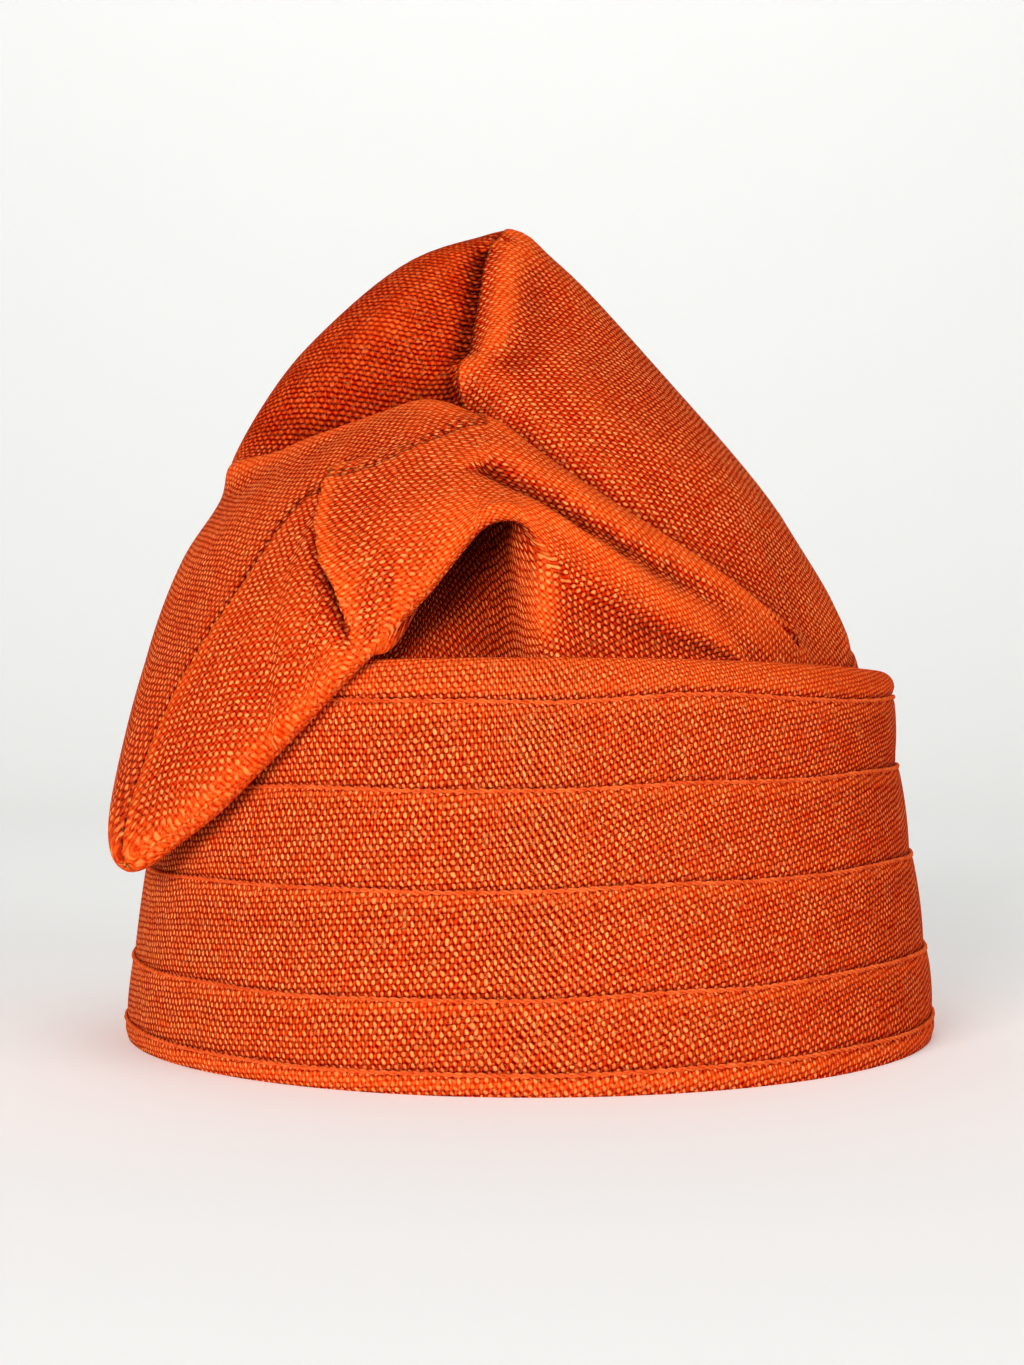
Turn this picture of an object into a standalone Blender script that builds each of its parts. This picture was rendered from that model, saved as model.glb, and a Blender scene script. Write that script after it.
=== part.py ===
"""Soft cloth fila: a stiff band of stitched tiers and a tall soft crown that folds down over one side.

Metres, +Z up. The origin is the centre of the band's foot, on the surface that the cap rests on.
Azimuths are degrees round the head: 0 is the front (-Y), 90 the wearer's left (+X), -90 the side of the flap.
"""

import math

import bpy
import numpy as np

# Band
BAND_HEIGHT = 0.0842
RIM_HALF_WIDTH = 0.0831
RIM_HALF_DEPTH = 0.0900
FOOT_FLARE = 0.0095
BAND_WALL = 0.0032
RIM_DROOP = 0.0026
TIER_STEP = 0.0008
TIER_SWELL = 0.0004
RIM_ROUND = 0.0036
FOOT_ROUND = 0.0007

# Crown
CROWN_RISE = 0.1008
CROWN_WALL = 0.0015
CROWN_TUCK = 0.0180
SEAT_GAP = 0.0003
PEAK_SHIFT_X = -0.0060
PEAK_SHIFT_Y = 0.0040
NECK_INSET = 0.0072

# Flap, the part of the crown that folds over the band
FLAP_GAP = 0.0007
FOLD_RADIUS = 0.0030
FLAP_FLARE = 0.0060
FLAP_SPREAD = 0.0008

# Stitch lines of the band, as shares of its height: the top of the hem and of each tier
TIERS = (
    # name, top
    ("hem", 0.049),
    ("foot_tier", 0.213),
    ("lower_tier", 0.458),
    ("middle_tier", 0.689),
    ("upper_tier", 0.896),
)

# How far the band stands out from its rim's ellipse, as a share of FOOT_FLARE
FLARE = (
    # height share, flare share
    (0.00, 1.00),
    (0.10, 0.91),
    (0.25, 0.73),
    (0.50, 0.41),
    (0.75, 0.08),
    (1.00, 0.00),
)

# Lip of the flap, its lowest fold. Heights are shares of CROWN_RISE above the rim, and flare is
# a share of FLAP_FLARE, how far the fold stands off the band, below 0 where it lies inside the rim
LIP = (
    # azimuth, height, flare
    (-155, 0.2, -1.5),
    (-140, 0.14, -0.7),
    (-125, 0.06, -0.1),
    (-110, -0.03, 0.1),
    (-90, -0.17, 0.2),
    (-76, -0.3, 0.55),
    (-66, -0.4, 1),
    (-60, -0.444, 1.1),
    (-55, -0.433, 1),
    (-50, -0.387, 0.7),
    (-43, -0.32, 0.45),
    (-37, -0.24, 0.25),
    (-30, -0.145, 0.1),
    (-24, -0.055, 0.05),
    (-19, 0.028, -0.1),
    (-13, 0.12, -0.45),
    (-9, 0.193, -0.65),
    (-6, 0.247, -0.8),
    (-4, 0.268, -0.95),
    (-1, 0.272, -1.05),
    (2, 0.245, -1.2),
    (5, 0.215, -1.35),
    (10, 0.17, -1.5),
    (16, 0.12, -1.6),
    (22, 0.075, -1.72),
    (30, 0.02, -1.8),
    (36, -0.025, -1.9),
    (43, -0.055, -2.1),
    (57, -0.068, -2.25),
    (66, -0.035, -2.2),
    (75, 0.01, -2.1),
    (95, 0.06, -2.35),
    (120, 0.12, -2.5),
    (150, 0.17, -2.6),
    (180, 0.19, -2.4),
)

# Rings of the crown. Radii are shares of the rim's own radius at that azimuth, and heights
# are shares of CROWN_RISE above the rim
CREASE = (
    # azimuth, radius, height
    (-150, 0.86, 0.1),
    (-125, 0.84, 0.12),
    (-100, 0.83, 0.12),
    (-50, 0.8, 0.13),
    (-30, 0.76, 0.17),
    (-20, 0.72, 0.21),
    (-12, 0.71, 0.27),
    (-7, 0.74, 0.31),
    (-3, 0.81, 0.305),
    (-0.5, 0.885, 0.265),
    (2, 0.94, 0.2),
    (6, 0.925, 0.13),
    (10, 0.915, 0.1),
    (16, 0.91, 0.065),
    (22, 0.91, 0.035),
    (30, 0.905, 0),
    (36, 0.9, -0.035),
    (43, 0.89, -0.06),
    (57, 0.885, -0.073),
    (66, 0.895, -0.045),
    (75, 0.903, 0),
    (95, 0.885, 0.04),
    (120, 0.89, 0.06),
    (150, 0.9, 0.07),
    (180, 0.9, 0.08),
)
FACE = (
    # azimuth, radius, height
    (-155, 0.89, 0.3),
    (-140, 0.94, 0.25),
    (-125, 0.985, 0.19),
    (-110, 1.02, 0.12),
    (-90, 1.03, 0.06),
    (-75, 1.06, 0),
    (-60, 1.09, -0.08),
    (-50, 1.09, -0.05),
    (-40, 1.07, 0.03),
    (-30, 1.045, 0.12),
    (-20, 1.01, 0.21),
    (-10, 0.98, 0.285),
    (-4, 0.965, 0.305),
    (-1, 0.96, 0.302),
    (4, 0.955, 0.277),
    (8, 0.95, 0.241),
    (12.5, 0.945, 0.2),
    (16, 0.94, 0.16),
    (21, 0.93, 0.115),
    (30, 0.915, 0.045),
    (36, 0.9, -0.01),
    (43, 0.888, -0.045),
    (57, 0.878, -0.063),
    (66, 0.888, -0.03),
    (75, 0.895, 0.02),
    (95, 0.853, 0.11),
    (120, 0.82, 0.2),
    (150, 0.83, 0.26),
    (180, 0.85, 0.28),
)
CHEEK = (
    # azimuth, radius, height
    (-155, 0.8, 0.42),
    (-140, 0.86, 0.38),
    (-125, 0.9, 0.33),
    (-110, 0.925, 0.29),
    (-90, 0.94, 0.24),
    (-75, 0.94, 0.23),
    (-60, 0.9, 0.27),
    (-40, 0.87, 0.32),
    (-25, 0.86, 0.36),
    (-15, 0.86, 0.38),
    (-8, 0.86, 0.38),
    (-3, 0.88, 0.352),
    (2, 0.895, 0.32),
    (8, 0.905, 0.265),
    (13, 0.91, 0.221),
    (21, 0.91, 0.158),
    (27, 0.91, 0.115),
    (35, 0.9, 0.05),
    (43, 0.887, -0.005),
    (50, 0.877, -0.03),
    (57, 0.872, -0.045),
    (66, 0.884, -0.015),
    (75, 0.89, 0.045),
    (95, 0.828, 0.17),
    (120, 0.77, 0.28),
    (150, 0.74, 0.4),
    (180, 0.73, 0.42),
)
RIDGE = (
    # azimuth, radius, height
    (-150, 0.75, 0.5),
    (-125, 0.8, 0.46),
    (-108, 0.82, 0.42),
    (-90, 0.828, 0.38),
    (-78, 0.825, 0.37),
    (-66, 0.79, 0.382),
    (-54, 0.73, 0.427),
    (-46, 0.68, 0.458),
    (-38, 0.645, 0.493),
    (-29, 0.62, 0.519),
    (-20, 0.61, 0.538),
    (-13, 0.64, 0.52),
    (-5, 0.72, 0.465),
    (1, 0.79, 0.405),
    (6, 0.835, 0.351),
    (10, 0.86, 0.314),
    (17, 0.88, 0.244),
    (24, 0.89, 0.175),
    (30, 0.895, 0.123),
    (36, 0.893, 0.072),
    (43, 0.884, 0.02),
    (50, 0.875, -0.013),
    (57, 0.868, -0.025),
    (66, 0.88, 0),
    (75, 0.882, 0.06),
    (95, 0.79, 0.24),
    (120, 0.7, 0.37),
    (150, 0.67, 0.48),
    (180, 0.67, 0.5),
)
ROLL = (
    # azimuth, radius, height
    (-150, 0.715, 0.54),
    (-125, 0.775, 0.495),
    (-108, 0.803, 0.455),
    (-90, 0.81, 0.43),
    (-79, 0.795, 0.445),
    (-65, 0.705, 0.46),
    (-56, 0.65, 0.485),
    (-45, 0.605, 0.508),
    (-35, 0.57, 0.53),
    (-24, 0.555, 0.552),
    (-16, 0.575, 0.54),
    (-10, 0.62, 0.517),
    (-3, 0.665, 0.485),
    (2, 0.705, 0.44),
    (9, 0.745, 0.375),
    (17, 0.785, 0.305),
    (25, 0.825, 0.238),
    (33, 0.855, 0.172),
    (40, 0.87, 0.115),
    (48, 0.876, 0.06),
    (57, 0.87, 0.006),
    (66, 0.878, 0.015),
    (75, 0.878, 0.075),
    (95, 0.77, 0.27),
    (120, 0.66, 0.42),
    (150, 0.625, 0.52),
    (180, 0.625, 0.55),
)
VALLEY = (
    # azimuth, radius, height
    (-150, 0.68, 0.58),
    (-125, 0.75, 0.53),
    (-108, 0.793, 0.49),
    (-90, 0.797, 0.468),
    (-79, 0.745, 0.46),
    (-65, 0.61, 0.455),
    (-56, 0.545, 0.468),
    (-45, 0.495, 0.487),
    (-35, 0.46, 0.503),
    (-24, 0.455, 0.52),
    (-16, 0.475, 0.515),
    (-10, 0.515, 0.49),
    (-3, 0.575, 0.455),
    (2, 0.615, 0.413),
    (9, 0.67, 0.345),
    (16, 0.717, 0.28),
    (25, 0.775, 0.212),
    (33, 0.822, 0.15),
    (40, 0.846, 0.094),
    (48, 0.862, 0.042),
    (57, 0.865, 0.008),
    (66, 0.872, 0.04),
    (75, 0.868, 0.1),
    (95, 0.753, 0.3),
    (120, 0.62, 0.46),
    (150, 0.58, 0.56),
    (180, 0.58, 0.6),
)
CONE = (
    # azimuth, radius, height
    (-150, 0.62, 0.66),
    (-110, 0.662, 0.65),
    (-90, 0.655, 0.65),
    (-70, 0.56, 0.65),
    (-45, 0.43, 0.65),
    (-20, 0.38, 0.65),
    (0, 0.42, 0.62),
    (10, 0.48, 0.58),
    (20, 0.55, 0.53),
    (30, 0.6, 0.48),
    (43, 0.66, 0.41),
    (57, 0.7, 0.36),
    (75, 0.702, 0.36),
    (95, 0.616, 0.45),
    (120, 0.5, 0.6),
    (150, 0.5, 0.66),
    (180, 0.52, 0.67),
)
SHOULDER = (
    # azimuth, radius, height
    (-135, 0.52, 0.77),
    (-90, 0.53, 0.76),
    (-60, 0.44, 0.76),
    (-30, 0.32, 0.76),
    (0, 0.285, 0.76),
    (30, 0.28, 0.76),
    (60, 0.3, 0.76),
    (90, 0.328, 0.76),
    (135, 0.365, 0.76),
    (180, 0.42, 0.77),
)
BROW = (
    # azimuth, radius, height
    (-135, 0.27, 0.93),
    (-90, 0.265, 0.93),
    (-45, 0.18, 0.93),
    (0, 0.11, 0.93),
    (45, 0.12, 0.93),
    (90, 0.138, 0.93),
    (180, 0.17, 0.93),
)

# Folds pressed into the cloth. Points run along each fold, as azimuth and height share. Left of
# OPEN_FROM the flap hides the cloth under it, and a fold lies either over it or under it
FOLDS = (
    # name, side of the flap, half width, lift, points
    ("cone_foot", "over", 0.0060, 0.0015,
     ((-30, 0.6), (-14, 0.62), (-3, 0.56), (9, 0.46), (25, 0.32), (40, 0.18))),
    ("short_valley", "over", 0.0032, -0.0038, ((-8, 0.386), (2, 0.32), (13, 0.221), (26, 0.12))),
    ("front_pleat", "under", 0.0040, 0.0018, ((-1.0, 0.25), (0.0, 0.12), (2.5, 0.0))),
    ("lapped_edge", "over", 0.0045, 0.0014, ((-37, 0.36), (-36, 0.28), (-32, 0.18), (-27, 0.08), (-24, 0.0))),
    ("flap_seam", "over", 0.0045, -0.0014,
     ((-38, 0.35), (-39, 0.2), (-43, 0.06), (-51, -0.17), (-55, -0.32))),
    ("peak_ridge", "over", 0.0060, 0.0038, ((-8, 0.90), (-10, 0.80), (-10, 0.70), (-12, 0.66), (-15, 0.63))),
    ("peak_crease", "over", 0.0050, -0.0035,
     ((-18, 0.94), (-28, 0.84), (-28, 0.76), (-25, 0.69), (-24, 0.63))),
)
OPEN_FROM = 2.0

# Columns of faces round the crown, closer together at the flap's fold
COLUMNS = (
    # from azimuth, columns to the next
    (-84, 26),
    (-14, 14),
    (8, 14),
    (56, 22),
)
BAND_COLUMNS = 60


def ellipse_radius(half_width, half_depth, azimuth):
    """Distance from the centre to an ellipse along each azimuth."""
    turn = np.radians(azimuth)
    return 1 / np.hypot(np.sin(turn) / half_width, np.cos(turn) / half_depth)


def rim_height(azimuth):
    """The rim droops a little from the front and back towards the sides."""
    return BAND_HEIGHT - RIM_DROOP * np.sin(np.radians(azimuth)) ** 2


def band_radius(azimuth, height):
    """Outer radius of the band at a height, without its tiers. Above the rim it stays the rim's."""
    shares, flares = zip(*FLARE)
    flare = FOOT_FLARE * np.interp(height / BAND_HEIGHT, shares, flares)
    return ellipse_radius(RIM_HALF_WIDTH + flare, RIM_HALF_DEPTH + flare, azimuth)


def around(rows, azimuth):
    """Columns of a ring's table at each azimuth: cubic spans through its rows, closed round the head."""
    table = np.array(sorted(rows), float)
    before, after = table[-2:].copy(), table[:2].copy()
    before[:, 0] -= 360
    after[:, 0] += 360
    table = np.vstack([before, table, after])
    knots, values = table[:, 0], table[:, 1:]
    slopes = np.zeros_like(values)
    slopes[1:-1] = (values[2:] - values[:-2]) / (knots[2:] - knots[:-2])[:, None]
    span = np.clip(np.searchsorted(knots, azimuth, side="right") - 1, 1, len(knots) - 3)
    width = (knots[span + 1] - knots[span])[:, None]
    t = (azimuth - knots[span])[:, None] / width
    return (
        (2 * t**3 - 3 * t**2 + 1) * values[span]
        + (t**3 - 2 * t**2 + t) * width * slopes[span]
        + (3 * t**2 - 2 * t**3) * values[span + 1]
        + (t**3 - t**2) * width * slopes[span + 1]
    ).T


def step_up(value, low, high):
    """0 below low, 1 above high, smooth between."""
    t = np.clip((value - low) / (high - low), 0, 1)
    return t * t * (3 - 2 * t)


def unit(vector):
    return vector / np.maximum(np.linalg.norm(vector, axis=0), 1e-9)


def lip_fold(lip, crease, face):
    """Five points of a round fold at the lip, between the cloth below it and the cloth above it.
    Where the two run nearly straight on, the fold opens into five spaced points of one line."""
    inwards, outwards = unit(crease - lip), unit(face - lip)
    across = unit(outwards - inwards)
    into = np.array([-across[1], across[0]])
    opening = np.arccos(np.clip((inwards * outwards).sum(0), -1, 1)) / math.pi
    room = np.minimum(np.linalg.norm(crease - lip, axis=0), np.linalg.norm(face - lip, axis=0))
    spread = np.minimum(FLAP_SPREAD, room / 5) * opening
    points = []
    for k in (-2, -1, 0, 1, 2):
        turn = k * (1 - opening) * math.pi / 4
        side = FOLD_RADIUS * np.sin(turn) * (1 - opening) + k * spread
        points.append(lip + into * FOLD_RADIUS * (1 - np.cos(turn)) + across * side)
    return points


def crown_stations(azimuth):
    """Radius and height of the crown's stations, from its sewn edge inside the band to its peak."""
    rim = ellipse_radius(RIM_HALF_WIDTH, RIM_HALF_DEPTH, azimuth)
    top = rim_height(azimuth)

    def ring(rows):
        radius, height = around(rows, azimuth)
        return np.array([radius * rim, BAND_HEIGHT + height * CROWN_RISE])

    def seat(height):
        return np.array([band_radius(azimuth, height) - BAND_WALL - SEAT_GAP, height])

    height, flare = around(LIP, azimuth)
    lip_height = BAND_HEIGHT + height * CROWN_RISE
    stand_off = FLAP_GAP + FOLD_RADIUS + flare * FLAP_FLARE
    lip = np.array([band_radius(azimuth, lip_height) + stand_off, lip_height])
    crease, face = ring(CREASE), ring(FACE)
    hangs = step_up(flare, -0.45, -0.05)
    over = np.array([rim - BAND_WALL, top + 2.5 * FLAP_GAP])
    side = np.array([rim + 1.5 * FLAP_GAP, top + FLAP_GAP])
    over = hangs * over + (1 - hangs) * (crease + (lip - crease) / 3)
    side = hangs * side + (1 - hangs) * (crease + (lip - crease) * 2 / 3)
    fold = lip_fold(lip, np.where(hangs > 0.5, side, crease), face)
    neck = np.array([rim - NECK_INSET, top])
    stations = [seat(top - CROWN_TUCK), seat(top - 0.55 * CROWN_TUCK), neck, crease, over, side]
    stations += fold + [face] + [ring(rows) for rows in (CHEEK, RIDGE, ROLL, VALLEY, CONE, SHOULDER, BROW)]
    stations.append(np.array([0 * rim, 0 * rim + BAND_HEIGHT + CROWN_RISE]))
    return stations


# Spans from each station up the cloth to the next, in rows of faces. The stations are the sewn edge,
# its top, the neck, the crease, two where the cloth crosses the rim, five round the lip and the rings above
ROWS = (1, 1, 2, 1, 1, 1, 1, 1, 1, 1, 2, 2, 2, 1, 1, 3, 2, 2, 2)
NECK = 2.0
OVER_LIP = 6.0
LIP_MIDDLE = 8.0


def row_stations():
    """The station that each row of points lies at, with the rows between two stations at shares between."""
    at = np.concatenate([[0], np.cumsum(ROWS)])
    return np.interp(np.arange(at[-1] + 1), at, np.arange(len(at)))


def along(stations, rows):
    """A curve through the stations of each azimuth, by centripetal cubic spans."""
    points = [2 * stations[0] - stations[1], *stations, 2 * stations[-1] - stations[-2]]
    curve = []
    for k, count in enumerate(rows):
        p = points[k : k + 4]
        gaps = [np.maximum(np.sqrt(np.linalg.norm(p[i + 1] - p[i], axis=0)), 1e-5) for i in range(3)]
        t0 = 0 * gaps[0]
        t1 = t0 + gaps[0]
        t2 = t1 + gaps[1]
        t3 = t2 + gaps[2]
        for step in range(count):
            t = t1 + (t2 - t1) * step / count
            a1 = ((t1 - t) * p[0] + (t - t0) * p[1]) / (t1 - t0)
            a2 = ((t2 - t) * p[1] + (t - t1) * p[2]) / (t2 - t1)
            a3 = ((t3 - t) * p[2] + (t - t2) * p[3]) / (t3 - t2)
            b1 = ((t2 - t) * a1 + (t - t0) * a2) / (t2 - t0)
            b2 = ((t3 - t) * a2 + (t - t1) * a3) / (t3 - t1)
            curve.append(((t2 - t) * b1 + (t - t1) * b2) / (t2 - t1))
    curve.append(stations[-1])
    return np.array(curve)


def place(radius, height, azimuth):
    """Points in space. The crown's axis leans from the centre of the rim to its peak."""
    lean = np.clip((height - BAND_HEIGHT) / CROWN_RISE, 0, 1)
    turn = np.radians(azimuth)
    x = radius * np.sin(turn) + PEAK_SHIFT_X * lean
    y = -radius * np.cos(turn) + PEAK_SHIFT_Y * lean
    return np.stack([x, y, height + 0 * x], axis=-1)


def sheet_normals(sheet):
    """Unit normals of a grid of points, rows up the cloth and columns round it, facing outwards."""
    up = np.gradient(sheet, axis=0)
    sideways = np.roll(sheet, -1, axis=1) - np.roll(sheet, 1, axis=1)
    normal = np.cross(sideways, up)
    return normal / np.maximum(np.linalg.norm(normal, axis=2, keepdims=True), 1e-12)


def fold_line(sheet, azimuth, side, points):
    """A fold's points on the outside of the cloth, joined by short steps."""
    line = []
    for (a0, h0), (a1, h1) in zip(points, points[1:]):
        for t in np.linspace(0, 1, 12):
            at = a0 + (a1 - a0) * t
            column = int(np.argmin(np.abs(azimuth - at)))
            first = NECK if side == "under" or at > OPEN_FROM else LIP_MIDDLE
            rows = sheet[row_stations() >= first, column]
            heights = np.maximum.accumulate(rows[:, 2])
            target = BAND_HEIGHT + (h0 + (h1 - h0) * t) * CROWN_RISE
            line.append([np.interp(target, heights, rows[:, i]) for i in range(3)])
    return np.array(line)


def press_folds(sheet, azimuth):
    """Lifts the cloth along each fold, most on its line and fading to nothing either side."""
    normal = sheet_normals(sheet)
    station = row_stations()[:, None]
    opened = step_up(azimuth, OPEN_FROM - 4, OPEN_FROM + 2)[None]
    lift = np.zeros(sheet.shape[:2])
    for _, side, half_width, height, points in FOLDS:
        line = fold_line(sheet, azimuth, side, points)
        away = np.linalg.norm(sheet[:, :, None] - line[None, None], axis=3).min(axis=2)
        reached = station < OVER_LIP if side == "under" else station >= LIP_MIDDLE
        lift += height * np.exp(-((away / half_width) ** 2)) * np.where(reached, 1, opened)
    lift *= step_up(station, NECK - 1, NECK + 0.5)
    return sheet + normal * lift[:, :, None]


def crown_azimuths():
    """Columns round the crown, from COLUMNS."""
    starts = [start for start, _ in COLUMNS]
    ends = [*starts[1:], starts[0] + 360]
    spans = [a + (b - a) * np.arange(n) / n for a, b, (_, n) in zip(starts, ends, COLUMNS)]
    azimuth = np.concatenate(spans)
    return np.where(azimuth > 180, azimuth - 360, azimuth)


def crown_sheet(azimuth):
    curve = along(crown_stations(azimuth), ROWS)
    sheet = place(curve[:, 0], curve[:, 1], azimuth)
    return press_folds(sheet, azimuth)


def cloth(name, colour, roughness):
    material = bpy.data.materials.new(name)
    material.use_nodes = True
    surface = material.node_tree.nodes["Principled BSDF"]
    surface.inputs["Base Color"].default_value = (*colour, 1)
    surface.inputs["Roughness"].default_value = roughness
    surface.inputs["Metallic"].default_value = 0
    return material


def piece(name, points, faces, material):
    mesh = bpy.data.meshes.new(name)
    mesh.from_pydata([tuple(map(float, p)) for p in points], [], faces)
    mesh.materials.append(material)
    mesh.shade_smooth()
    made = bpy.data.objects.new(name, mesh)
    bpy.context.scene.collection.objects.link(made)
    return made


def make_crown(material):
    azimuth = crown_azimuths()
    sheet = crown_sheet(azimuth)
    rows, columns = sheet.shape[0] - 1, sheet.shape[1]
    points = [*sheet[:-1].reshape(-1, 3), sheet[-1].mean(axis=0)]
    faces = []
    for row in range(rows - 1):
        for column in range(columns):
            right = (column + 1) % columns
            low, high = row * columns, (row + 1) * columns
            faces.append((low + column, low + right, high + right, high + column))
    top, last = len(points) - 1, (rows - 1) * columns
    faces += [(last + column, last + (column + 1) % columns, top) for column in range(columns)]
    crown = piece("crown", points, faces, material)
    wall = crown.modifiers.new("wall", "SOLIDIFY")
    wall.thickness = CROWN_WALL
    wall.offset = -1
    return crown


def band_section(azimuth):
    """Radius and height round the band's wall, up its tiers, over the rim and down the inside."""
    top = rim_height(azimuth)
    one = np.ones_like(azimuth)

    def outer(share, proud):
        height = one * share * BAND_HEIGHT
        return np.array([band_radius(azimuth, height) + proud, height])

    section = [outer(0, -FOOT_ROUND), outer(FOOT_ROUND / BAND_HEIGHT, 0)]
    low = FOOT_ROUND / BAND_HEIGHT
    for _, high in TIERS:
        section.append(outer((low + high) / 2, TIER_SWELL))
        section.append(outer(high - TIER_STEP / BAND_HEIGHT, TIER_STEP / 2))
        section.append(outer(high, -TIER_STEP / 2))
        low = high
    rim = band_radius(azimuth, top)
    section.append(np.array([rim + TIER_SWELL / 2, top - RIM_ROUND]))
    for turn in (30, 60, 90):
        out = (rim - RIM_ROUND + TIER_SWELL / 2) + RIM_ROUND * math.cos(math.radians(turn))
        section.append(np.array([out, top - RIM_ROUND + RIM_ROUND * math.sin(math.radians(turn))]))
    inner_top = top - RIM_ROUND / 2
    for height in (inner_top, 0.66 * inner_top, 0.33 * inner_top, FOOT_ROUND * one, 0 * one):
        inset = BAND_WALL - (FOOT_ROUND if height[0] == 0 else 0)
        section.append(np.array([band_radius(azimuth, height) - inset, height]))
    return section


def make_band(material):
    azimuth = 360 * np.arange(BAND_COLUMNS) / BAND_COLUMNS - 180
    turn = np.radians(azimuth)
    points, faces = [], []
    section = band_section(azimuth)
    for radius, height in section:
        points += list(np.stack([radius * np.sin(turn), -radius * np.cos(turn), height], axis=1))
    for row in range(len(section)):
        low, high = row * BAND_COLUMNS, (row + 1) % len(section) * BAND_COLUMNS
        for column in range(BAND_COLUMNS):
            right = (column + 1) % BAND_COLUMNS
            faces.append((low + column, low + right, high + right, high + column))
    return piece("band", points, faces, material)


for old in list(bpy.data.objects):
    bpy.data.objects.remove(old)
make_band(cloth("band_cloth", (0.62, 0.095, 0.023), 0.85))
make_crown(cloth("crown_cloth", (0.66, 0.100, 0.024), 0.85))
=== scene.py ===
"""A fila: a soft woven cap with a stiff band of stitched tiers and a tall crown that folds down over one side.

Metres, +Z up, in the part's own frame: the origin is the centre of the band's foot, the front faces -Y and
the flap hangs on the -X side. Azimuths are degrees round the head, 0 at the front and 90 at +X.
"""

import math

import bpy
import mathutils
import numpy as np
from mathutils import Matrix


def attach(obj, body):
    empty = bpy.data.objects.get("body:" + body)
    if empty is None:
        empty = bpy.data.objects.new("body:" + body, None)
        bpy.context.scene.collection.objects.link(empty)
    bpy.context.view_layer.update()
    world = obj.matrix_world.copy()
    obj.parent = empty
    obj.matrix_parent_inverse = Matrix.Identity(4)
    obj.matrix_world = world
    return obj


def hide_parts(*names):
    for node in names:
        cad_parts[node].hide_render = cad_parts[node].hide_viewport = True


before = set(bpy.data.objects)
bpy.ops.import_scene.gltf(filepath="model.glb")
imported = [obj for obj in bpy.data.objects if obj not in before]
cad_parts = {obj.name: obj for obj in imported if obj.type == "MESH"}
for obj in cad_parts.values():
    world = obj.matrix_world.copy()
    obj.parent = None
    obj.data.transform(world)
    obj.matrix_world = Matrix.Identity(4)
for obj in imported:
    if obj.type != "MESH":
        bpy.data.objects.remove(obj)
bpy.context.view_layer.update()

# The band is one ring of stiff doubled cotton, folded into four tiers and a hem that lap each other downwards.
# Each lap is held by a row of stitches. The cloth is cut on the bias left of the front and nearly straight
# right of it, so that the weave turns at the front of the cap.
BAND_HEIGHT = 0.0842
RIM_HALF_WIDTH = 0.0831
RIM_HALF_DEPTH = 0.0900
FOOT_FLARE = 0.0095
BAND_WALL = 0.0032
RIM_DROOP = 0.0026
TIER_STEP = 0.0006
TIER_SWELL = 0.0005
FLAT_LAP = 0.35
RIM_ROUND = 0.0036
FOOT_ROUND = 0.0007
STITCH_SINK = 0.0003
STITCH_WIDTH = 0.0007
BAND_SWAY = 0.0005
BAND_COLUMNS = 480

# How the weave lies round the band. climb is how steeply the weft rows rise to the right, lean how far the warp
# leans from upright, and ribs how far the crossings join into slanted ribs, or below 0 into rows
GRAIN = (
    # azimuth, climb, lean, ribs
    (-180, 0.05, 0.02, 0.35),
    (-30, 0.07, 0.02, 0.45),
    (-6, 0.09, 0.02, 0.55),
    (-2, 0.12, 0.05, 1.00),
    (3, 0.22, 0.08, 0.95),
    (8, 0.36, 0.12, 0.50),
    (18, 0.32, 0.16, 0.35),
    (30, 0.22, 0.20, 0.05),
    (60, 0.16, 0.20, -0.40),
    (180, 0.05, 0.10, 0.20),
)

TIERS = (
    # name, top as a share of the band's height
    ("hem", 0.049),
    ("foot_tier", 0.213),
    ("lower_tier", 0.458),
    ("middle_tier", 0.689),
    ("upper_tier", 0.896),
)
FLARE = (
    # height share, how far the band stands out from its rim as a share of FOOT_FLARE
    (0.00, 1.00),
    (0.10, 0.91),
    (0.25, 0.73),
    (0.50, 0.41),
    (0.75, 0.08),
    (1.00, 0.00),
)
TIER_ROWS = (0.02, 0.06, 0.12, 0.2, 0.32, 0.45, 0.58, 0.7, 0.8, 0.88, 0.93, 0.965, 0.985, 1.0)


def ellipse_radius(half_width, half_depth, azimuth):
    """Distance from the centre to an ellipse along each azimuth."""
    turn = np.radians(azimuth)
    return 1 / np.hypot(np.sin(turn) / half_width, np.cos(turn) / half_depth)


def rim_height(azimuth):
    """The rim droops a little from the front and back towards the sides."""
    return BAND_HEIGHT - RIM_DROOP * np.sin(np.radians(azimuth)) ** 2


def band_radius(azimuth, height):
    """Outer radius of the band at a height, without its tiers: an ellipse that widens down to the foot."""
    shares, flares = zip(*FLARE)
    flare = FOOT_FLARE * np.interp(height / BAND_HEIGHT, shares, flares)
    return ellipse_radius(RIM_HALF_WIDTH + flare, RIM_HALF_DEPTH + flare, azimuth)


def line_rise(azimuth, share):
    """The sewn lines sit a little higher right of the front, where the band was rolled up a touch tighter."""
    side = np.abs(azimuth)
    near = np.clip((azimuth - 3) / 16, 0, 1) * 0.0013
    far = np.clip((azimuth - 28) / 22, 0, 1) * np.interp(share, (0.70, 0.88), (0.0010, -0.0012))
    return (near + far) * np.clip((150 - side) / 60, 0, 1)


def sway(azimuth, height):
    """Slow unevenness of hand-sewn cloth: a sum of three waves round the head that drift with height."""
    turn = np.radians(azimuth)
    return (
        0.45 * np.sin(3 * turn + 55 * height + 0.6)
        + 0.35 * np.sin(7 * turn - 90 * height + 2.1)
        + 0.20 * np.sin(13 * turn + 140 * height + 4.0)
    )


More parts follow.
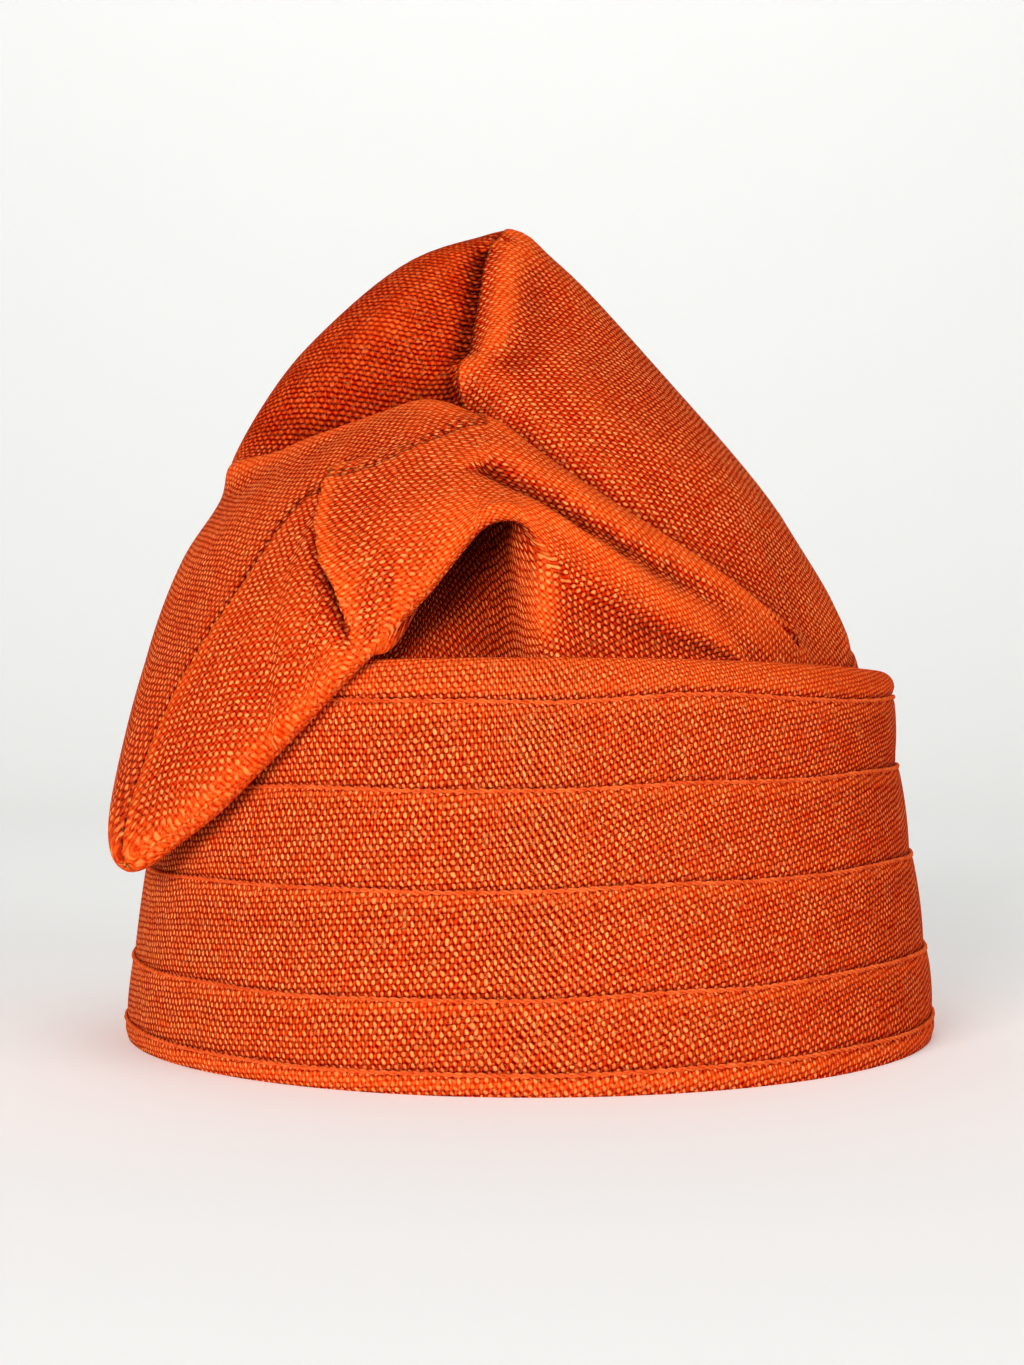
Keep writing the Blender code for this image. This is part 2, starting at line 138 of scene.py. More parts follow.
def tier_relief(azimuth, share, low, high):
    """How proud of the wall a tier stands: it swells in the middle, leans out to its top, where it laps
    under the next tier's stitches, and sinks on the stitch line itself. The laps lie flatter on the left, and
    the hem's lies flattest."""
    t = (share - low) / (high - low)
    pressed = FLAT_LAP + (1 - FLAT_LAP) * np.interp(np.abs(azimuth + 10), (150, 170), (1, 0))
    pressed = pressed * np.interp(azimuth, (-75, -25), (FLAT_LAP, 1)) * (FLAT_LAP if high == TIERS[0][1] else 1)
    sunk = np.exp(-(((share - high) * BAND_HEIGHT / STITCH_WIDTH) ** 2))
    sunk += np.exp(-(((share - low) * BAND_HEIGHT / STITCH_WIDTH) ** 2))
    lean = np.where(t > 0.995, -0.5, t - 0.5)
    return TIER_SWELL * 4 * t * (1 - t) * pressed + TIER_STEP * lean * pressed - STITCH_SINK * sunk


def band_section(azimuth):
    """Radius and height round the band's wall: up the tiers, over the rounded rim and down the inside."""
    top = rim_height(azimuth)
    rows = []

    def outer(share, proud):
        fade = min(1, share * 8) * min(1, (1 - share) * 12)
        height = share * BAND_HEIGHT + fade * BAND_SWAY * sway(azimuth, 0.5 * share * BAND_HEIGHT)
        height = np.minimum(height + fade * line_rise(azimuth, share), top - RIM_ROUND)
        out = band_radius(azimuth, height) + proud + 0.4 * BAND_SWAY * sway(azimuth + 40, height)
        rows.append(np.array([out, height]))

    low = FOOT_ROUND / BAND_HEIGHT
    rows.append(np.array([band_radius(azimuth, 0 * top) - FOOT_ROUND, 0 * top]))
    outer(low, tier_relief(azimuth, low, low, TIERS[0][1]))
    shoulder = 1 - (RIM_ROUND + RIM_DROOP) / BAND_HEIGHT
    for high in [share for _, share in TIERS] + [shoulder]:
        for t in TIER_ROWS:
            share = low + (high - low) * t
            last = high == shoulder
            proud = tier_relief(azimuth, share, low, high + (0.04 if last else 0))
            outer(share, proud)
        low = high
    rim = rows[-1][0]
    base = rows[-1][1]
    for turn in np.radians(np.linspace(12, 90, 8)):
        out = rim - RIM_ROUND + RIM_ROUND * math.cos(turn)
        rows.append(np.array([out, base + (top - base) * math.sin(turn)]))
    for share in (0.985, 0.95, 0.85, 0.7, 0.55, 0.4, 0.25, 0.1, FOOT_ROUND / BAND_HEIGHT, 0):
        height = share * top
        inset = BAND_WALL - (FOOT_ROUND if share == 0 else 0)
        rows.append(np.array([band_radius(azimuth, height) - inset, height]))
    return np.array(rows)


def round_head(radius, height, azimuth):
    """Points in space from radius, height and azimuth."""
    turn = np.radians(azimuth)
    return np.stack([radius * np.sin(turn), -radius * np.cos(turn), height + 0 * radius], axis=-1)


def ring_mesh(name, points, flats, panel, closed, marks):
    """A mesh from a grid of points, rows up the cloth and columns round the head, with the last column
    joined to the first. flats holds the cloth's own coordinates in metres, a grid for each panel with one
    column more than points, and panel says which of them each face takes. A closed ring joins its last row
    to its first, and any other ends in one point, its last row."""
    rows, columns = points.shape[:2]
    spans = rows if closed else rows - 2
    low = np.arange(spans)[:, None] * columns
    high = (np.arange(spans)[:, None] + 1) % rows * columns
    here = np.arange(columns)[None]
    right = (here + 1) % columns
    quads = np.stack([low + here, low + right, high + right, high + here], axis=-1).reshape(-1, 4)
    row, column = [k.ravel() for k in np.mgrid[0:spans, 0:columns]]
    of = panel[row, column]
    around = ((row, column), (row, column + 1), (row + 1, column + 1), (row + 1, column))
    corners = np.stack([flats[of, r, c] for r, c in around], axis=1).reshape(-1, 2)
    faces = quads.tolist()
    if not closed:
        ring = (rows - 2) * columns
        ends = np.stack([ring + here[0], ring + right[0], 0 * right[0] + ring + columns], axis=-1)
        of = panel[rows - 2]
        around = ((rows - 2, here[0]), (rows - 2, here[0] + 1), (rows - 1, here[0]))
        tips = [flats[of, r, c] for r, c in around]
        corners = np.concatenate([corners, np.stack(tips, axis=1).reshape(-1, 2)])
        faces += ends.tolist()
        points = np.concatenate([points[:-1].reshape(-1, 3), points[-1].mean(axis=0)[None]])
    mesh = bpy.data.meshes.new(name)
    mesh.from_pydata(points.reshape(-1, 3).tolist(), [], faces)
    mesh.uv_layers.new(name="weave").data.foreach_set("uv", corners.ravel())
    for mark, values in marks.items():
        values = values.ravel()[: len(mesh.vertices)]
        mesh.attributes.new(mark, "FLOAT", "POINT").data.foreach_set("value", values.astype(np.float32))
    mesh.shade_smooth()
    made = bpy.data.objects.new(name, mesh)
    bpy.context.scene.collection.objects.link(made)
    return made


class Wire:
    """One output of a material's nodes. Sums and products of wires and numbers add Math nodes."""

    def __init__(self, tree, output):
        self.tree, self.output = tree, output

    def node(self, kind, values=(), out=0, **settings):
        """A node of any kind: its settings first, then numbers or wires for its sockets."""
        made = self.tree.nodes.new(kind)
        for name, value in settings.items():
            setattr(made, name, value)
        for socket, value in dict(values).items():
            if isinstance(value, Wire):
                self.tree.links.new(value.output, made.inputs[socket])
            else:
                made.inputs[socket].default_value = value
        return Wire(self.tree, made.outputs[out] if len(made.outputs) else None)

    def maths(self, operation, *terms):
        return self.node("ShaderNodeMath", enumerate(terms), operation=operation)

    def __add__(self, other):
        return self.maths("ADD", self, other)

    def __sub__(self, other):
        return self.maths("SUBTRACT", self, other)

    def __rsub__(self, other):
        return self.maths("SUBTRACT", other, self)

    def __mul__(self, other):
        return self.maths("MULTIPLY", self, other)

    __radd__, __rmul__ = __add__, __mul__

    def whole(self):
        return self.maths("FLOOR", self)

    def wave(self):
        """Cosine of pi times the wire."""
        return self.maths("COSINE", self * math.pi)

    def higher(self, other):
        return self.maths("MAXIMUM", self, other)

    def ease(self, low, high):
        """0 at low, 1 at high, smooth between."""
        ends = {"From Min": low, "From Max": high}
        return self.node("ShaderNodeMapRange", {"Value": self, **ends}, interpolation_type="SMOOTHSTEP")

    def blend(self, first, second, way="MIX"):
        """A colour from first to second as the wire goes from 0 to 1."""
        kinds = {"data_type": "RGBA", "blend_type": way}
        return self.node("ShaderNodeMix", {0: self, 6: first, 7: second}, out=2, **kinds)

    def cell(self, other, shift):
        """A random number for each pair of whole numbers."""
        place = self.node("ShaderNodeCombineXYZ", {0: self, 1: other, 2: shift})
        return self.node("ShaderNodeTexWhiteNoise", {"Vector": place}, noise_dimensions="3D")

    def cloud(self, scale, detail, out=0):
        """Smooth noise over the object's own coordinates, in blobs of about 1 / scale metres."""
        sizes = {"Scale": scale, "Detail": detail, "Roughness": 0.55}
        return self.node("ShaderNodeTexNoise", {"Vector": self, **sizes}, out=out)


WARP_PITCH = 0.00078
WEFT_PITCH = 0.00122
THREAD_WANDER = 0.0014
THREAD_TREMBLE = 0.00085
THREAD_RELIEF = 0.00040
CLOTH_GAP = (0.160, 0.0003, 0.0000, 1)
CLOTH_WARP = (0.610, 0.016, 0.0006, 1)
CLOTH_WEFT = (0.810, 0.064, 0.0034, 1)
# Pale cream, for the painted highlight on the tops of the knots in place of the cotton's sheen, and for loose fibres
CLOTH_SHEEN_AND_FIBRE = (0.97, 0.365, 0.105, 1)
CLOTH_WORN = (0.920, 0.125, 0.0120, 1)


def split(wire):
    """The three parts of a vector or colour."""
    first = wire.node("ShaderNodeSeparateXYZ", {0: wire})
    node = first.output.node
    return [Wire(wire.tree, node.outputs[k]) for k in range(3)]


def plain_weave(name, grooves=()):
    """Coarse plain weave, worked out from the cloth's own flat coordinates.

    Pale weft threads lie along the first coordinate and redder warp threads along the second. Each rises and
    falls as a cosine along its length, over one crossing thread and under the next, and is round across, so the
    cloth's height is the higher of the two threads. Where the mark ribs is high, a wave along the diagonal of
    the crossings joins the pale knots into slanted ribs, and below 0 the weft rows stand out. The tops of the
    weft knots carry a painted highlight, a pale cream in place of the cotton's sheen. The mark of wear and
    painted shade is above 0 on the crests of folds, where the cloth is rubbed pale, and below 0 in creases,
    where the colour is darkened as painted shade. grooves are sewn lines: marks of distance, depth and length
    along, width, how far one side is drawn into puckers, and how far the line lies from where the distance is 0.
    """
    material = bpy.data.materials.new(name)
    material.use_nodes = True
    tree = material.node_tree
    tree.nodes.clear()
    start = Wire(tree, None)
    place = start.node("ShaderNodeTexCoord", out="Object")
    flat = split(start.node("ShaderNodeUVMap", uv_map="weave"))

    def mark(name):
        return start.node("ShaderNodeAttribute", out="Fac", attribute_name=name)

    wander = split(place.cloud(62, 1, out="Color"))
    tremble = split(place.cloud(520, 1, out="Color"))
    u = flat[0] + (wander[0] - 0.5) * THREAD_WANDER + (tremble[0] - 0.5) * THREAD_TREMBLE
    v = flat[1] + (wander[1] - 0.5) * THREAD_WANDER + (tremble[1] - 0.5) * THREAD_TREMBLE
    p, q = u * (1 / WARP_PITCH), v * (1 / WEFT_PITCH)

    i, j = p.whole(), q.whole()
    across_warp, across_weft = p - i - 0.5, q - j - 0.5
    warp_rise = (q + i - 0.5).wave()
    weft_rise = 0 - (p + j - 0.5).wave()
    joined, wear_and_shade = mark("ribs"), mark("wear_and_shade")
    ribs, rows = joined.higher(0.0), (0 - joined).higher(0.0)
    fibre = place.cloud(2300, 2)
    slub = place.cloud(170, 1) - 0.5
    diagonal = (p + q).wave()
    warp = warp_rise * 0.45 + (0.36 - across_warp * across_warp * 2.2) + slub * 0.5 - rows * 0.45
    weft = weft_rise * (0.55 - rows * 0.50) + (0.52 - across_weft * across_weft * 2.6) - slub * 0.4
    above = (weft - warp).ease(-0.12, 0.12)
    height = warp.higher(weft) + (fibre - 0.5) * 0.45 + diagonal * ribs * 0.36

    knot = i.cell(j, 0.5)
    thread = i.cell(0.0, 1.5) * (1 - above) + j.cell(0.0, 2.5) * above
    patch = place.cloud(30, 2)

    sunk, folded = None, None
    for distance, depth, length, width, pucker, away in grooves:
        near = mark(distance) - away + (tremble[2] - 0.5) * width * 0.8
        line = (1 - near.maths("ABSOLUTE", near).ease(0.25 * width, width)) * mark(depth)
        sunk = line if sunk is None else sunk.higher(line)
        if pucker:
            along = mark(length) * (2 / PUCKER_PITCH) + (wander[2] - 0.5) * 3 + (tremble[2] - 0.5) * 1.2
            reach = near.ease(-0.0002, 0.0006) * (1 - near.ease(0.0015, 0.0060)) * mark(depth)
            folded = along.wave() * reach * (pucker * 0.8)

    crest, crease = wear_and_shade.higher(0.0), (0 - wear_and_shade).higher(0.0)
    if folded is not None:
        height = height + folded * 0.30
    lit = height.ease(0.05, 0.80)
    body = above.blend(CLOTH_WARP, CLOTH_WEFT)
    body = (crest * 0.75 + ribs * 0.16).blend(body, CLOTH_WORN)
    cloth = lit.blend(crest.ease(0.0, 1.0).blend(CLOTH_GAP, CLOTH_WARP), body)
    # Painted highlight: pale cream on the tops of the weft knots, standing in for the sheen of the cotton.
    knot_highlight = height.ease(0.62, 1.02) * above * (0.42 + knot * 0.58) * (1 - crest * 0.45 - crease * 0.40)
    cloth = knot_highlight.blend(cloth, CLOTH_SHEEN_AND_FIBRE)
    loop = place.cloud(560, 1) - 0.5
    hair = 1 - loop.maths("ABSOLUTE", loop).ease(0.004, 0.024)
    cloth = (hair * (0.24 - crease * 0.16)).blend(cloth, CLOTH_SHEEN_AND_FIBRE)
    # The tone varies at random by thread, knot and patch, and is darkened in creases as painted shade.
    tone = 0.88 + thread * 0.16 + knot * 0.10 + (patch - 0.5) * 0.10 - crease * (0.80 - lit * 0.30)
    relief = height
    if sunk is not None:
        tone = tone * (1 - sunk * 0.72)
        relief = relief - sunk * 2.4
    if folded is not None:
        # Painted shade: the troughs between the puckers are darkened in colour.
        tone = tone * (1 - (0 - folded).higher(0.0) * 0.5)
        relief = relief + folded * 1.6
    grey = tone.node("ShaderNodeCombineXYZ", {0: tone, 1: tone, 2: tone})
    colour = Wire(tree, None).node("ShaderNodeMix", {0: 1.0, 6: cloth, 7: grey}, out=2, data_type="RGBA",
                                   blend_type="MULTIPLY")
    normal = relief.node("ShaderNodeBump", {"Strength": 0.8, "Distance": THREAD_RELIEF, "Height": relief})
    surface = {
        "Base Color": colour,
        "Roughness": 0.95 - height * 0.2,
        "Normal": normal,
        "Specular IOR Level": 0.01,
    }
    shader = colour.node("ShaderNodeBsdfPrincipled", surface)
    shader.node("ShaderNodeOutputMaterial", {"Surface": shader})
    return material


def crests_and_creases(points, reach):
    """How the cloth bends at each point: its height above the mean of the points a reach away along it, up and
    down and both ways round, as a share of the reach. Above 0 on a crest and below 0 in a crease."""
    normal = sheet_normals(points)
    total = 0
    for axis in (0, 1):
        grid = np.moveaxis(points, axis, 0)
        wrap = axis == 1
        ring = np.concatenate([grid, grid[:1]]) if wrap else grid
        far = np.cumsum(np.linalg.norm(np.diff(ring, axis=0), axis=2), axis=0)
        far = np.concatenate([np.zeros((1, grid.shape[1])), far])
        if wrap:
            ring = np.concatenate([ring[:-1], ring[:-1], ring])
            span = far[-1]
            far = np.concatenate([far[:-1] - span, far[:-1], far + span])
        rise = np.zeros_like(grid)
        for lane in range(grid.shape[1]):
            at = far[len(grid) : 2 * len(grid), lane] if wrap else far[:, lane]
            for step in (-reach, reach):
                rise[:, lane] += 0.5 * np.stack(
                    [np.interp(at + step, far[:, lane], ring[:, lane, k]) for k in range(3)], axis=-1
                )
        total = total + ((grid - rise) * np.moveaxis(normal, axis, 0)).sum(axis=2).swapaxes(0, axis) / reach
    return total


def sheet_normals(sheet):
    """Unit normals of a grid of points, rows up the cloth and columns round it, facing outwards."""
    up = np.gradient(sheet, axis=0)
    sideways = np.roll(sheet, -1, axis=1) - np.roll(sheet, 1, axis=1)
    normal = np.cross(sideways, up)
    return normal / np.maximum(np.linalg.norm(normal, axis=2, keepdims=True), 1e-12)


azimuth = 360 * np.arange(BAND_COLUMNS + 1) / BAND_COLUMNS - 180
radius, height = np.moveaxis(band_section(azimuth), 1, 0)
band_points = round_head(radius, height, azimuth)
front = band_points[:, BAND_COLUMNS // 2]
length_up = np.concatenate([[0], np.cumsum(np.linalg.norm(np.diff(front, axis=0), axis=1))])
length_up = np.append(length_up, 2 * length_up[-1] - length_up[-2])
length_round = np.radians(azimuth) * (RIM_HALF_WIDTH + RIM_HALF_DEPTH + FOOT_FLARE) / 2
turns, climbs, leans, slants = zip(*GRAIN)
climb = np.interp(azimuth, turns, climbs)
climb = np.concatenate([[0], np.cumsum(0.5 * (climb[1:] + climb[:-1]) * np.diff(length_round))])
across = length_round[None] + length_up[:, None] * np.interp(azimuth, turns, leans)[None]
band_flat = np.stack(np.broadcast_arrays(across, length_up[:, None] - climb[None]), axis=-1)
marks = {
    "ribs": np.broadcast_to(np.interp(azimuth[:-1], turns, slants), band_points[:, :-1].shape[:2]),
    # Rubbed pale on the crests of the tiers, and darkened in the creases between them as painted shade
    "wear_and_shade": np.clip(crests_and_creases(band_points[:, :-1], 0.0022) * 2.6, -1, 1),
}
one_panel = np.zeros((len(band_points) + 1, BAND_COLUMNS), int)
band = ring_mesh("band_tiers", band_points[:, :-1], band_flat[None], one_panel, True, marks)
band.data.materials.append(plain_weave("band_weave"))
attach(band, "root")
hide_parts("band")


# The rows of stitches that hold the laps of the band: one soft two-ply thread along the top of each tier,
# lighter than the cloth, pulled a little into it.
PLY_RADIUS = 0.00030
PLY_OFFSET = 0.00022
PLY_TWIST = 0.0042
PLY_SIDES = 6
THREAD_STEPS = 1100


def twisted_thread(azimuth, radius, height, ply):
    """One ply of a closed thread: a small tube whose centre circles the stitch line once every PLY_TWIST."""
    loop = round_head(radius, height, azimuth)
    ahead = np.roll(loop, -1, axis=0) - np.roll(loop, 1, axis=0)
    ahead /= np.linalg.norm(ahead, axis=1, keepdims=True)
    out = round_head(np.ones_like(radius), 0 * height, azimuth)
    up = np.cross(ahead, out)
    turns = round(2 * math.pi * radius.mean() / PLY_TWIST)
    twist = np.radians(azimuth) * turns + ply * math.pi
    fray = 1 + 0.35 * np.sin(np.radians(azimuth) * 97 + 3 * ply) * np.sin(np.radians(azimuth) * 41 + ply)
    centre = loop + PLY_OFFSET * (np.sin(twist)[:, None] * up * 1.2 + np.cos(twist)[:, None] * out) * fray[:, None]
    around = 2 * math.pi * np.arange(PLY_SIDES) / PLY_SIDES
    spokes = np.cos(around)[:, None, None] * out + np.sin(around)[:, None, None] * up
    return centre[None] + PLY_RADIUS * (1 + 0.15 * (fray - 1))[None, :, None] * spokes


def stitch_rows():
    """Every ply of every row, as one mesh."""
    azimuth = 360 * np.arange(THREAD_STEPS) / THREAD_STEPS - 180
    points, faces = [], []
    for _, share in TIERS:
        fade = min(1, share * 8) * min(1, (1 - share) * 12)
        level = share * BAND_HEIGHT + fade * BAND_SWAY * sway(azimuth, 0.5 * share * BAND_HEIGHT)
        level = level + fade * line_rise(azimuth, share)
        out = band_radius(azimuth, level) + 0.4 * BAND_SWAY * sway(azimuth + 40, level) + STITCH_SINK * 0.2
        for ply in (0, 1):
            tube = twisted_thread(azimuth, out, level, ply)
            first = len(points) * PLY_SIDES * THREAD_STEPS
            here = np.arange(THREAD_STEPS)[None]
            side = np.arange(PLY_SIDES)[:, None]
            right, above = (here + 1) % THREAD_STEPS, (side + 1) % PLY_SIDES
            at = [side * THREAD_STEPS + here, side * THREAD_STEPS + right]
            at += [above * THREAD_STEPS + right, above * THREAD_STEPS + here]
            faces.append(first + np.stack(at, axis=-1).reshape(-1, 4))
            points.append(tube.reshape(-1, 3))
    mesh = bpy.data.meshes.new("stitch_rows")
    mesh.from_pydata(np.concatenate(points).tolist(), [], np.concatenate(faces).tolist())
    mesh.shade_smooth()
    made = bpy.data.objects.new("stitch_rows", mesh)
    bpy.context.scene.collection.objects.link(made)
    return made


def spun_cotton(name, pale, deep):
    """Spun thread: fine fibres in two tones with a soft relief."""
    material = bpy.data.materials.new(name)
    material.use_nodes = True
    tree = material.node_tree
    tree.nodes.clear()
    start = Wire(tree, None)
    place = start.node("ShaderNodeTexCoord", out="Object")
    fibre = place.cloud(1500, 3)
    long = place.cloud(220, 2)
    colour = (fibre * 0.7 + long * 0.5 - 0.1).ease(0.25, 0.8).blend(deep, pale)
    normal = fibre.node("ShaderNodeBump", {"Strength": 0.6, "Distance": 0.0002, "Height": fibre})
    shader = colour.node("ShaderNodeBsdfPrincipled", {"Base Color": colour, "Roughness": 0.9, "Normal": normal, "Specular IOR Level": 0.04})
    shader.node("ShaderNodeOutputMaterial", {"Surface": shader})
    return material


stitches = stitch_rows()
stitches.data.materials.append(spun_cotton("stitch_thread", (0.92, 0.17, 0.035, 1), (0.55, 0.040, 0.004, 1)))
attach(stitches, "root")


# The crown is one soft tube of the same cloth, sewn inside the band and closed by a long lapped seam that runs
# over its top. It stands up to a blunt peak, sinks behind a long rolled fold at the front, and the rest of it
# folds down over the band at the wearer's right, where the end of the seam makes the tip of the flap.
CROWN_RISE = 0.1008
CROWN_WALL = 0.0015
CROWN_TUCK = 0.0180
SEAT_GAP = 0.0003
PEAK_SHIFT_X = -0.0060
PEAK_SHIFT_Y = 0.0040
NECK_INSET = 0.0072
FLAP_GAP = 0.0007
FOLD_RADIUS = 0.0030
FLAP_FLARE = 0.0060
FLAP_SPREAD = 0.0008

# Lip of the flap, its lowest fold. Heights are shares of CROWN_RISE above the rim, and flare is
# a share of FLAP_FLARE, how far the fold stands off the band, below 0 where it lies inside the rim
LIP_LINE = (
    # azimuth, height, flare
    (-155, 0.2, -1.5),
    (-140, 0.14, -0.7),
    (-125, 0.06, -0.1),
    (-110, -0.03, 0.1),
    (-90, -0.17, 0.2),
    (-76, -0.3, 0.55),
    (-66, -0.4, 1),
    (-60, -0.444, 1.1),
    (-55, -0.433, 1),
    (-50, -0.387, 0.7),
    (-43, -0.32, 0.45),
    (-37, -0.24, 0.25),
    (-30, -0.145, 0.1),
    (-24, -0.055, 0.05),
    (-19, 0.028, -0.1),
    (-13, 0.12, -0.45),
    (-9, 0.193, -0.65),
    (-6, 0.247, -0.8),
    (-4, 0.268, -0.95),
    (-1, 0.272, -1.05),
    (2, 0.245, -1.2),
    (5, 0.215, -1.35),
    (10, 0.17, -1.5),
    (16, 0.12, -1.6),
    (22, 0.075, -1.72),
    (30, 0.02, -1.8),
    (36, -0.025, -1.9),
    (43, -0.055, -2.1),
    (57, -0.068, -2.25),
    (66, -0.035, -2.2),
    (75, 0.01, -2.1),
    (95, 0.06, -2.35),
    (120, 0.12, -2.5),
    (150, 0.17, -2.6),
    (180, 0.19, -2.4),
)

# Rings of the crown. Radii are shares of the rim's own radius at that azimuth, and heights
# are shares of CROWN_RISE above the rim
CREASE = (
    # azimuth, radius, height
    (-150, 0.86, 0.1),
    (-125, 0.84, 0.12),
    (-100, 0.83, 0.12),
    (-50, 0.8, 0.13),
    (-30, 0.76, 0.17),
    (-20, 0.72, 0.21),
    (-12, 0.71, 0.27),
    (-7, 0.74, 0.31),
    (-3, 0.81, 0.305),
    (-0.5, 0.885, 0.265),
    (2, 0.94, 0.2),
    (6, 0.925, 0.13),
    (10, 0.915, 0.1),
    (16, 0.91, 0.065),
    (22, 0.91, 0.035),
    (30, 0.905, 0),
    (36, 0.9, -0.035),
    (43, 0.89, -0.06),
    (57, 0.885, -0.073),
    (66, 0.895, -0.045),
    (75, 0.903, 0),
    (95, 0.885, 0.04),
    (120, 0.89, 0.06),
    (150, 0.9, 0.07),
    (180, 0.9, 0.08),
)
FACE = (
    # azimuth, radius, height
    (-155, 0.89, 0.3),
    (-140, 0.94, 0.25),
    (-125, 0.985, 0.19),
    (-110, 1.02, 0.12),
    (-90, 1.03, 0.06),
    (-75, 1.06, 0),
    (-60, 1.09, -0.08),
    (-50, 1.09, -0.05),
    (-40, 1.07, 0.03),
    (-30, 1.045, 0.12),
    (-20, 1.01, 0.21),
    (-10, 0.98, 0.285),
    (-4, 0.965, 0.305),
    (-1, 0.96, 0.302),
    (4, 0.955, 0.277),
    (8, 0.95, 0.241),
    (12.5, 0.945, 0.2),
    (16, 0.94, 0.16),
    (21, 0.93, 0.115),
    (30, 0.915, 0.045),
    (36, 0.9, -0.01),
    (43, 0.888, -0.045),
    (57, 0.878, -0.063),
    (66, 0.888, -0.03),
    (75, 0.895, 0.02),
    (95, 0.853, 0.11),
    (120, 0.82, 0.2),
    (150, 0.83, 0.26),
    (180, 0.85, 0.28),
)
CHEEK = (
    # azimuth, radius, height
    (-155, 0.8, 0.42),
    (-140, 0.86, 0.38),
    (-125, 0.9, 0.33),
    (-110, 0.925, 0.29),
    (-90, 0.94, 0.24),
    (-75, 0.94, 0.23),
    (-60, 0.9, 0.27),
    (-40, 0.87, 0.32),
    (-25, 0.86, 0.36),
    (-15, 0.86, 0.38),
    (-8, 0.86, 0.38),
    (-3, 0.88, 0.352),
    (2, 0.895, 0.32),
    (8, 0.905, 0.265),
    (13, 0.91, 0.221),
    (21, 0.91, 0.158),
    (27, 0.91, 0.115),
    (35, 0.9, 0.05),
    (43, 0.887, -0.005),
    (50, 0.877, -0.03),
    (57, 0.872, -0.045),
    (66, 0.884, -0.015),
    (75, 0.89, 0.045),
    (95, 0.828, 0.17),
    (120, 0.77, 0.28),
    (150, 0.74, 0.4),
    (180, 0.73, 0.42),
)
RIDGE = (
    # azimuth, radius, height
    (-150, 0.75, 0.5),
    (-125, 0.8, 0.46),
    (-108, 0.82, 0.42),
    (-90, 0.828, 0.38),
    (-78, 0.825, 0.37),
    (-66, 0.79, 0.382),
    (-54, 0.73, 0.427),
    (-46, 0.68, 0.458),
    (-38, 0.645, 0.493),
    (-29, 0.62, 0.519),
    (-20, 0.61, 0.538),
    (-13, 0.64, 0.52),
    (-5, 0.72, 0.465),
    (1, 0.79, 0.405),
    (6, 0.835, 0.351),
    (10, 0.86, 0.314),
    (17, 0.88, 0.244),
    (24, 0.89, 0.175),
    (30, 0.895, 0.123),
    (36, 0.893, 0.072),
    (43, 0.884, 0.02),
    (50, 0.875, -0.013),
    (57, 0.868, -0.025),
    (66, 0.88, 0),
    (75, 0.882, 0.06),
    (95, 0.79, 0.24),
    (120, 0.7, 0.37),
    (150, 0.67, 0.48),
    (180, 0.67, 0.5),
)
ROLL = (
    # azimuth, radius, height
    (-150, 0.715, 0.54),
    (-125, 0.775, 0.495),
    (-108, 0.803, 0.455),
    (-90, 0.81, 0.43),
    (-79, 0.795, 0.445),
    (-65, 0.705, 0.46),
    (-56, 0.65, 0.485),
    (-45, 0.605, 0.508),
    (-35, 0.57, 0.53),
    (-24, 0.555, 0.552),
    (-16, 0.575, 0.54),
    (-10, 0.62, 0.517),
    (-3, 0.665, 0.485),
    (2, 0.705, 0.44),
    (9, 0.745, 0.375),
    (17, 0.785, 0.305),
    (25, 0.825, 0.238),
    (33, 0.855, 0.172),
    (40, 0.87, 0.115),
    (48, 0.876, 0.06),
    (57, 0.87, 0.006),
    (66, 0.878, 0.015),
    (75, 0.878, 0.075),
    (95, 0.77, 0.27),
    (120, 0.66, 0.42),
    (150, 0.625, 0.52),
    (180, 0.625, 0.55),
)
VALLEY = (
    # azimuth, radius, height
    (-150, 0.68, 0.58),
    (-125, 0.75, 0.53),
    (-108, 0.793, 0.49),
    (-90, 0.797, 0.468),
    (-79, 0.745, 0.46),
    (-65, 0.61, 0.455),
    (-56, 0.545, 0.468),
    (-45, 0.495, 0.487),
    (-35, 0.46, 0.503),
    (-24, 0.455, 0.52),
    (-16, 0.475, 0.515),
    (-10, 0.515, 0.49),
    (-3, 0.575, 0.455),
    (2, 0.615, 0.413),
    (9, 0.67, 0.345),
    (16, 0.717, 0.28),
    (25, 0.775, 0.212),
    (33, 0.822, 0.15),
    (40, 0.846, 0.094),
    (48, 0.862, 0.042),
    (57, 0.865, 0.008),
    (66, 0.872, 0.04),
    (75, 0.868, 0.1),
    (95, 0.753, 0.3),
    (120, 0.62, 0.46),
    (150, 0.58, 0.56),
    (180, 0.58, 0.6),
)
CONE = (
    # azimuth, radius, height
    (-150, 0.62, 0.66),
    (-110, 0.662, 0.65),
    (-90, 0.655, 0.65),
    (-70, 0.56, 0.65),
    (-45, 0.43, 0.65),
    (-20, 0.38, 0.65),
    (0, 0.42, 0.62),
    (10, 0.48, 0.58),
    (20, 0.55, 0.53),
    (30, 0.6, 0.48),
    (43, 0.66, 0.41),
    (57, 0.7, 0.36),
    (75, 0.702, 0.36),
    (95, 0.616, 0.45),
    (120, 0.5, 0.6),
    (150, 0.5, 0.66),
    (180, 0.52, 0.67),
)
SHOULDER = (
    # azimuth, radius, height
    (-135, 0.52, 0.77),
    (-90, 0.53, 0.76),
    (-60, 0.44, 0.76),
    (-30, 0.32, 0.76),
    (0, 0.285, 0.76),
    (30, 0.28, 0.76),
    (60, 0.3, 0.76),
    (90, 0.328, 0.76),
    (135, 0.365, 0.76),
    (180, 0.42, 0.77),
)
BROW = (
    # azimuth, radius, height
    (-135, 0.27, 0.93),
    (-90, 0.265, 0.93),
    (-45, 0.18, 0.93),
    (0, 0.11, 0.93),
    (45, 0.12, 0.93),
    (90, 0.138, 0.93),
    (180, 0.17, 0.93),
)

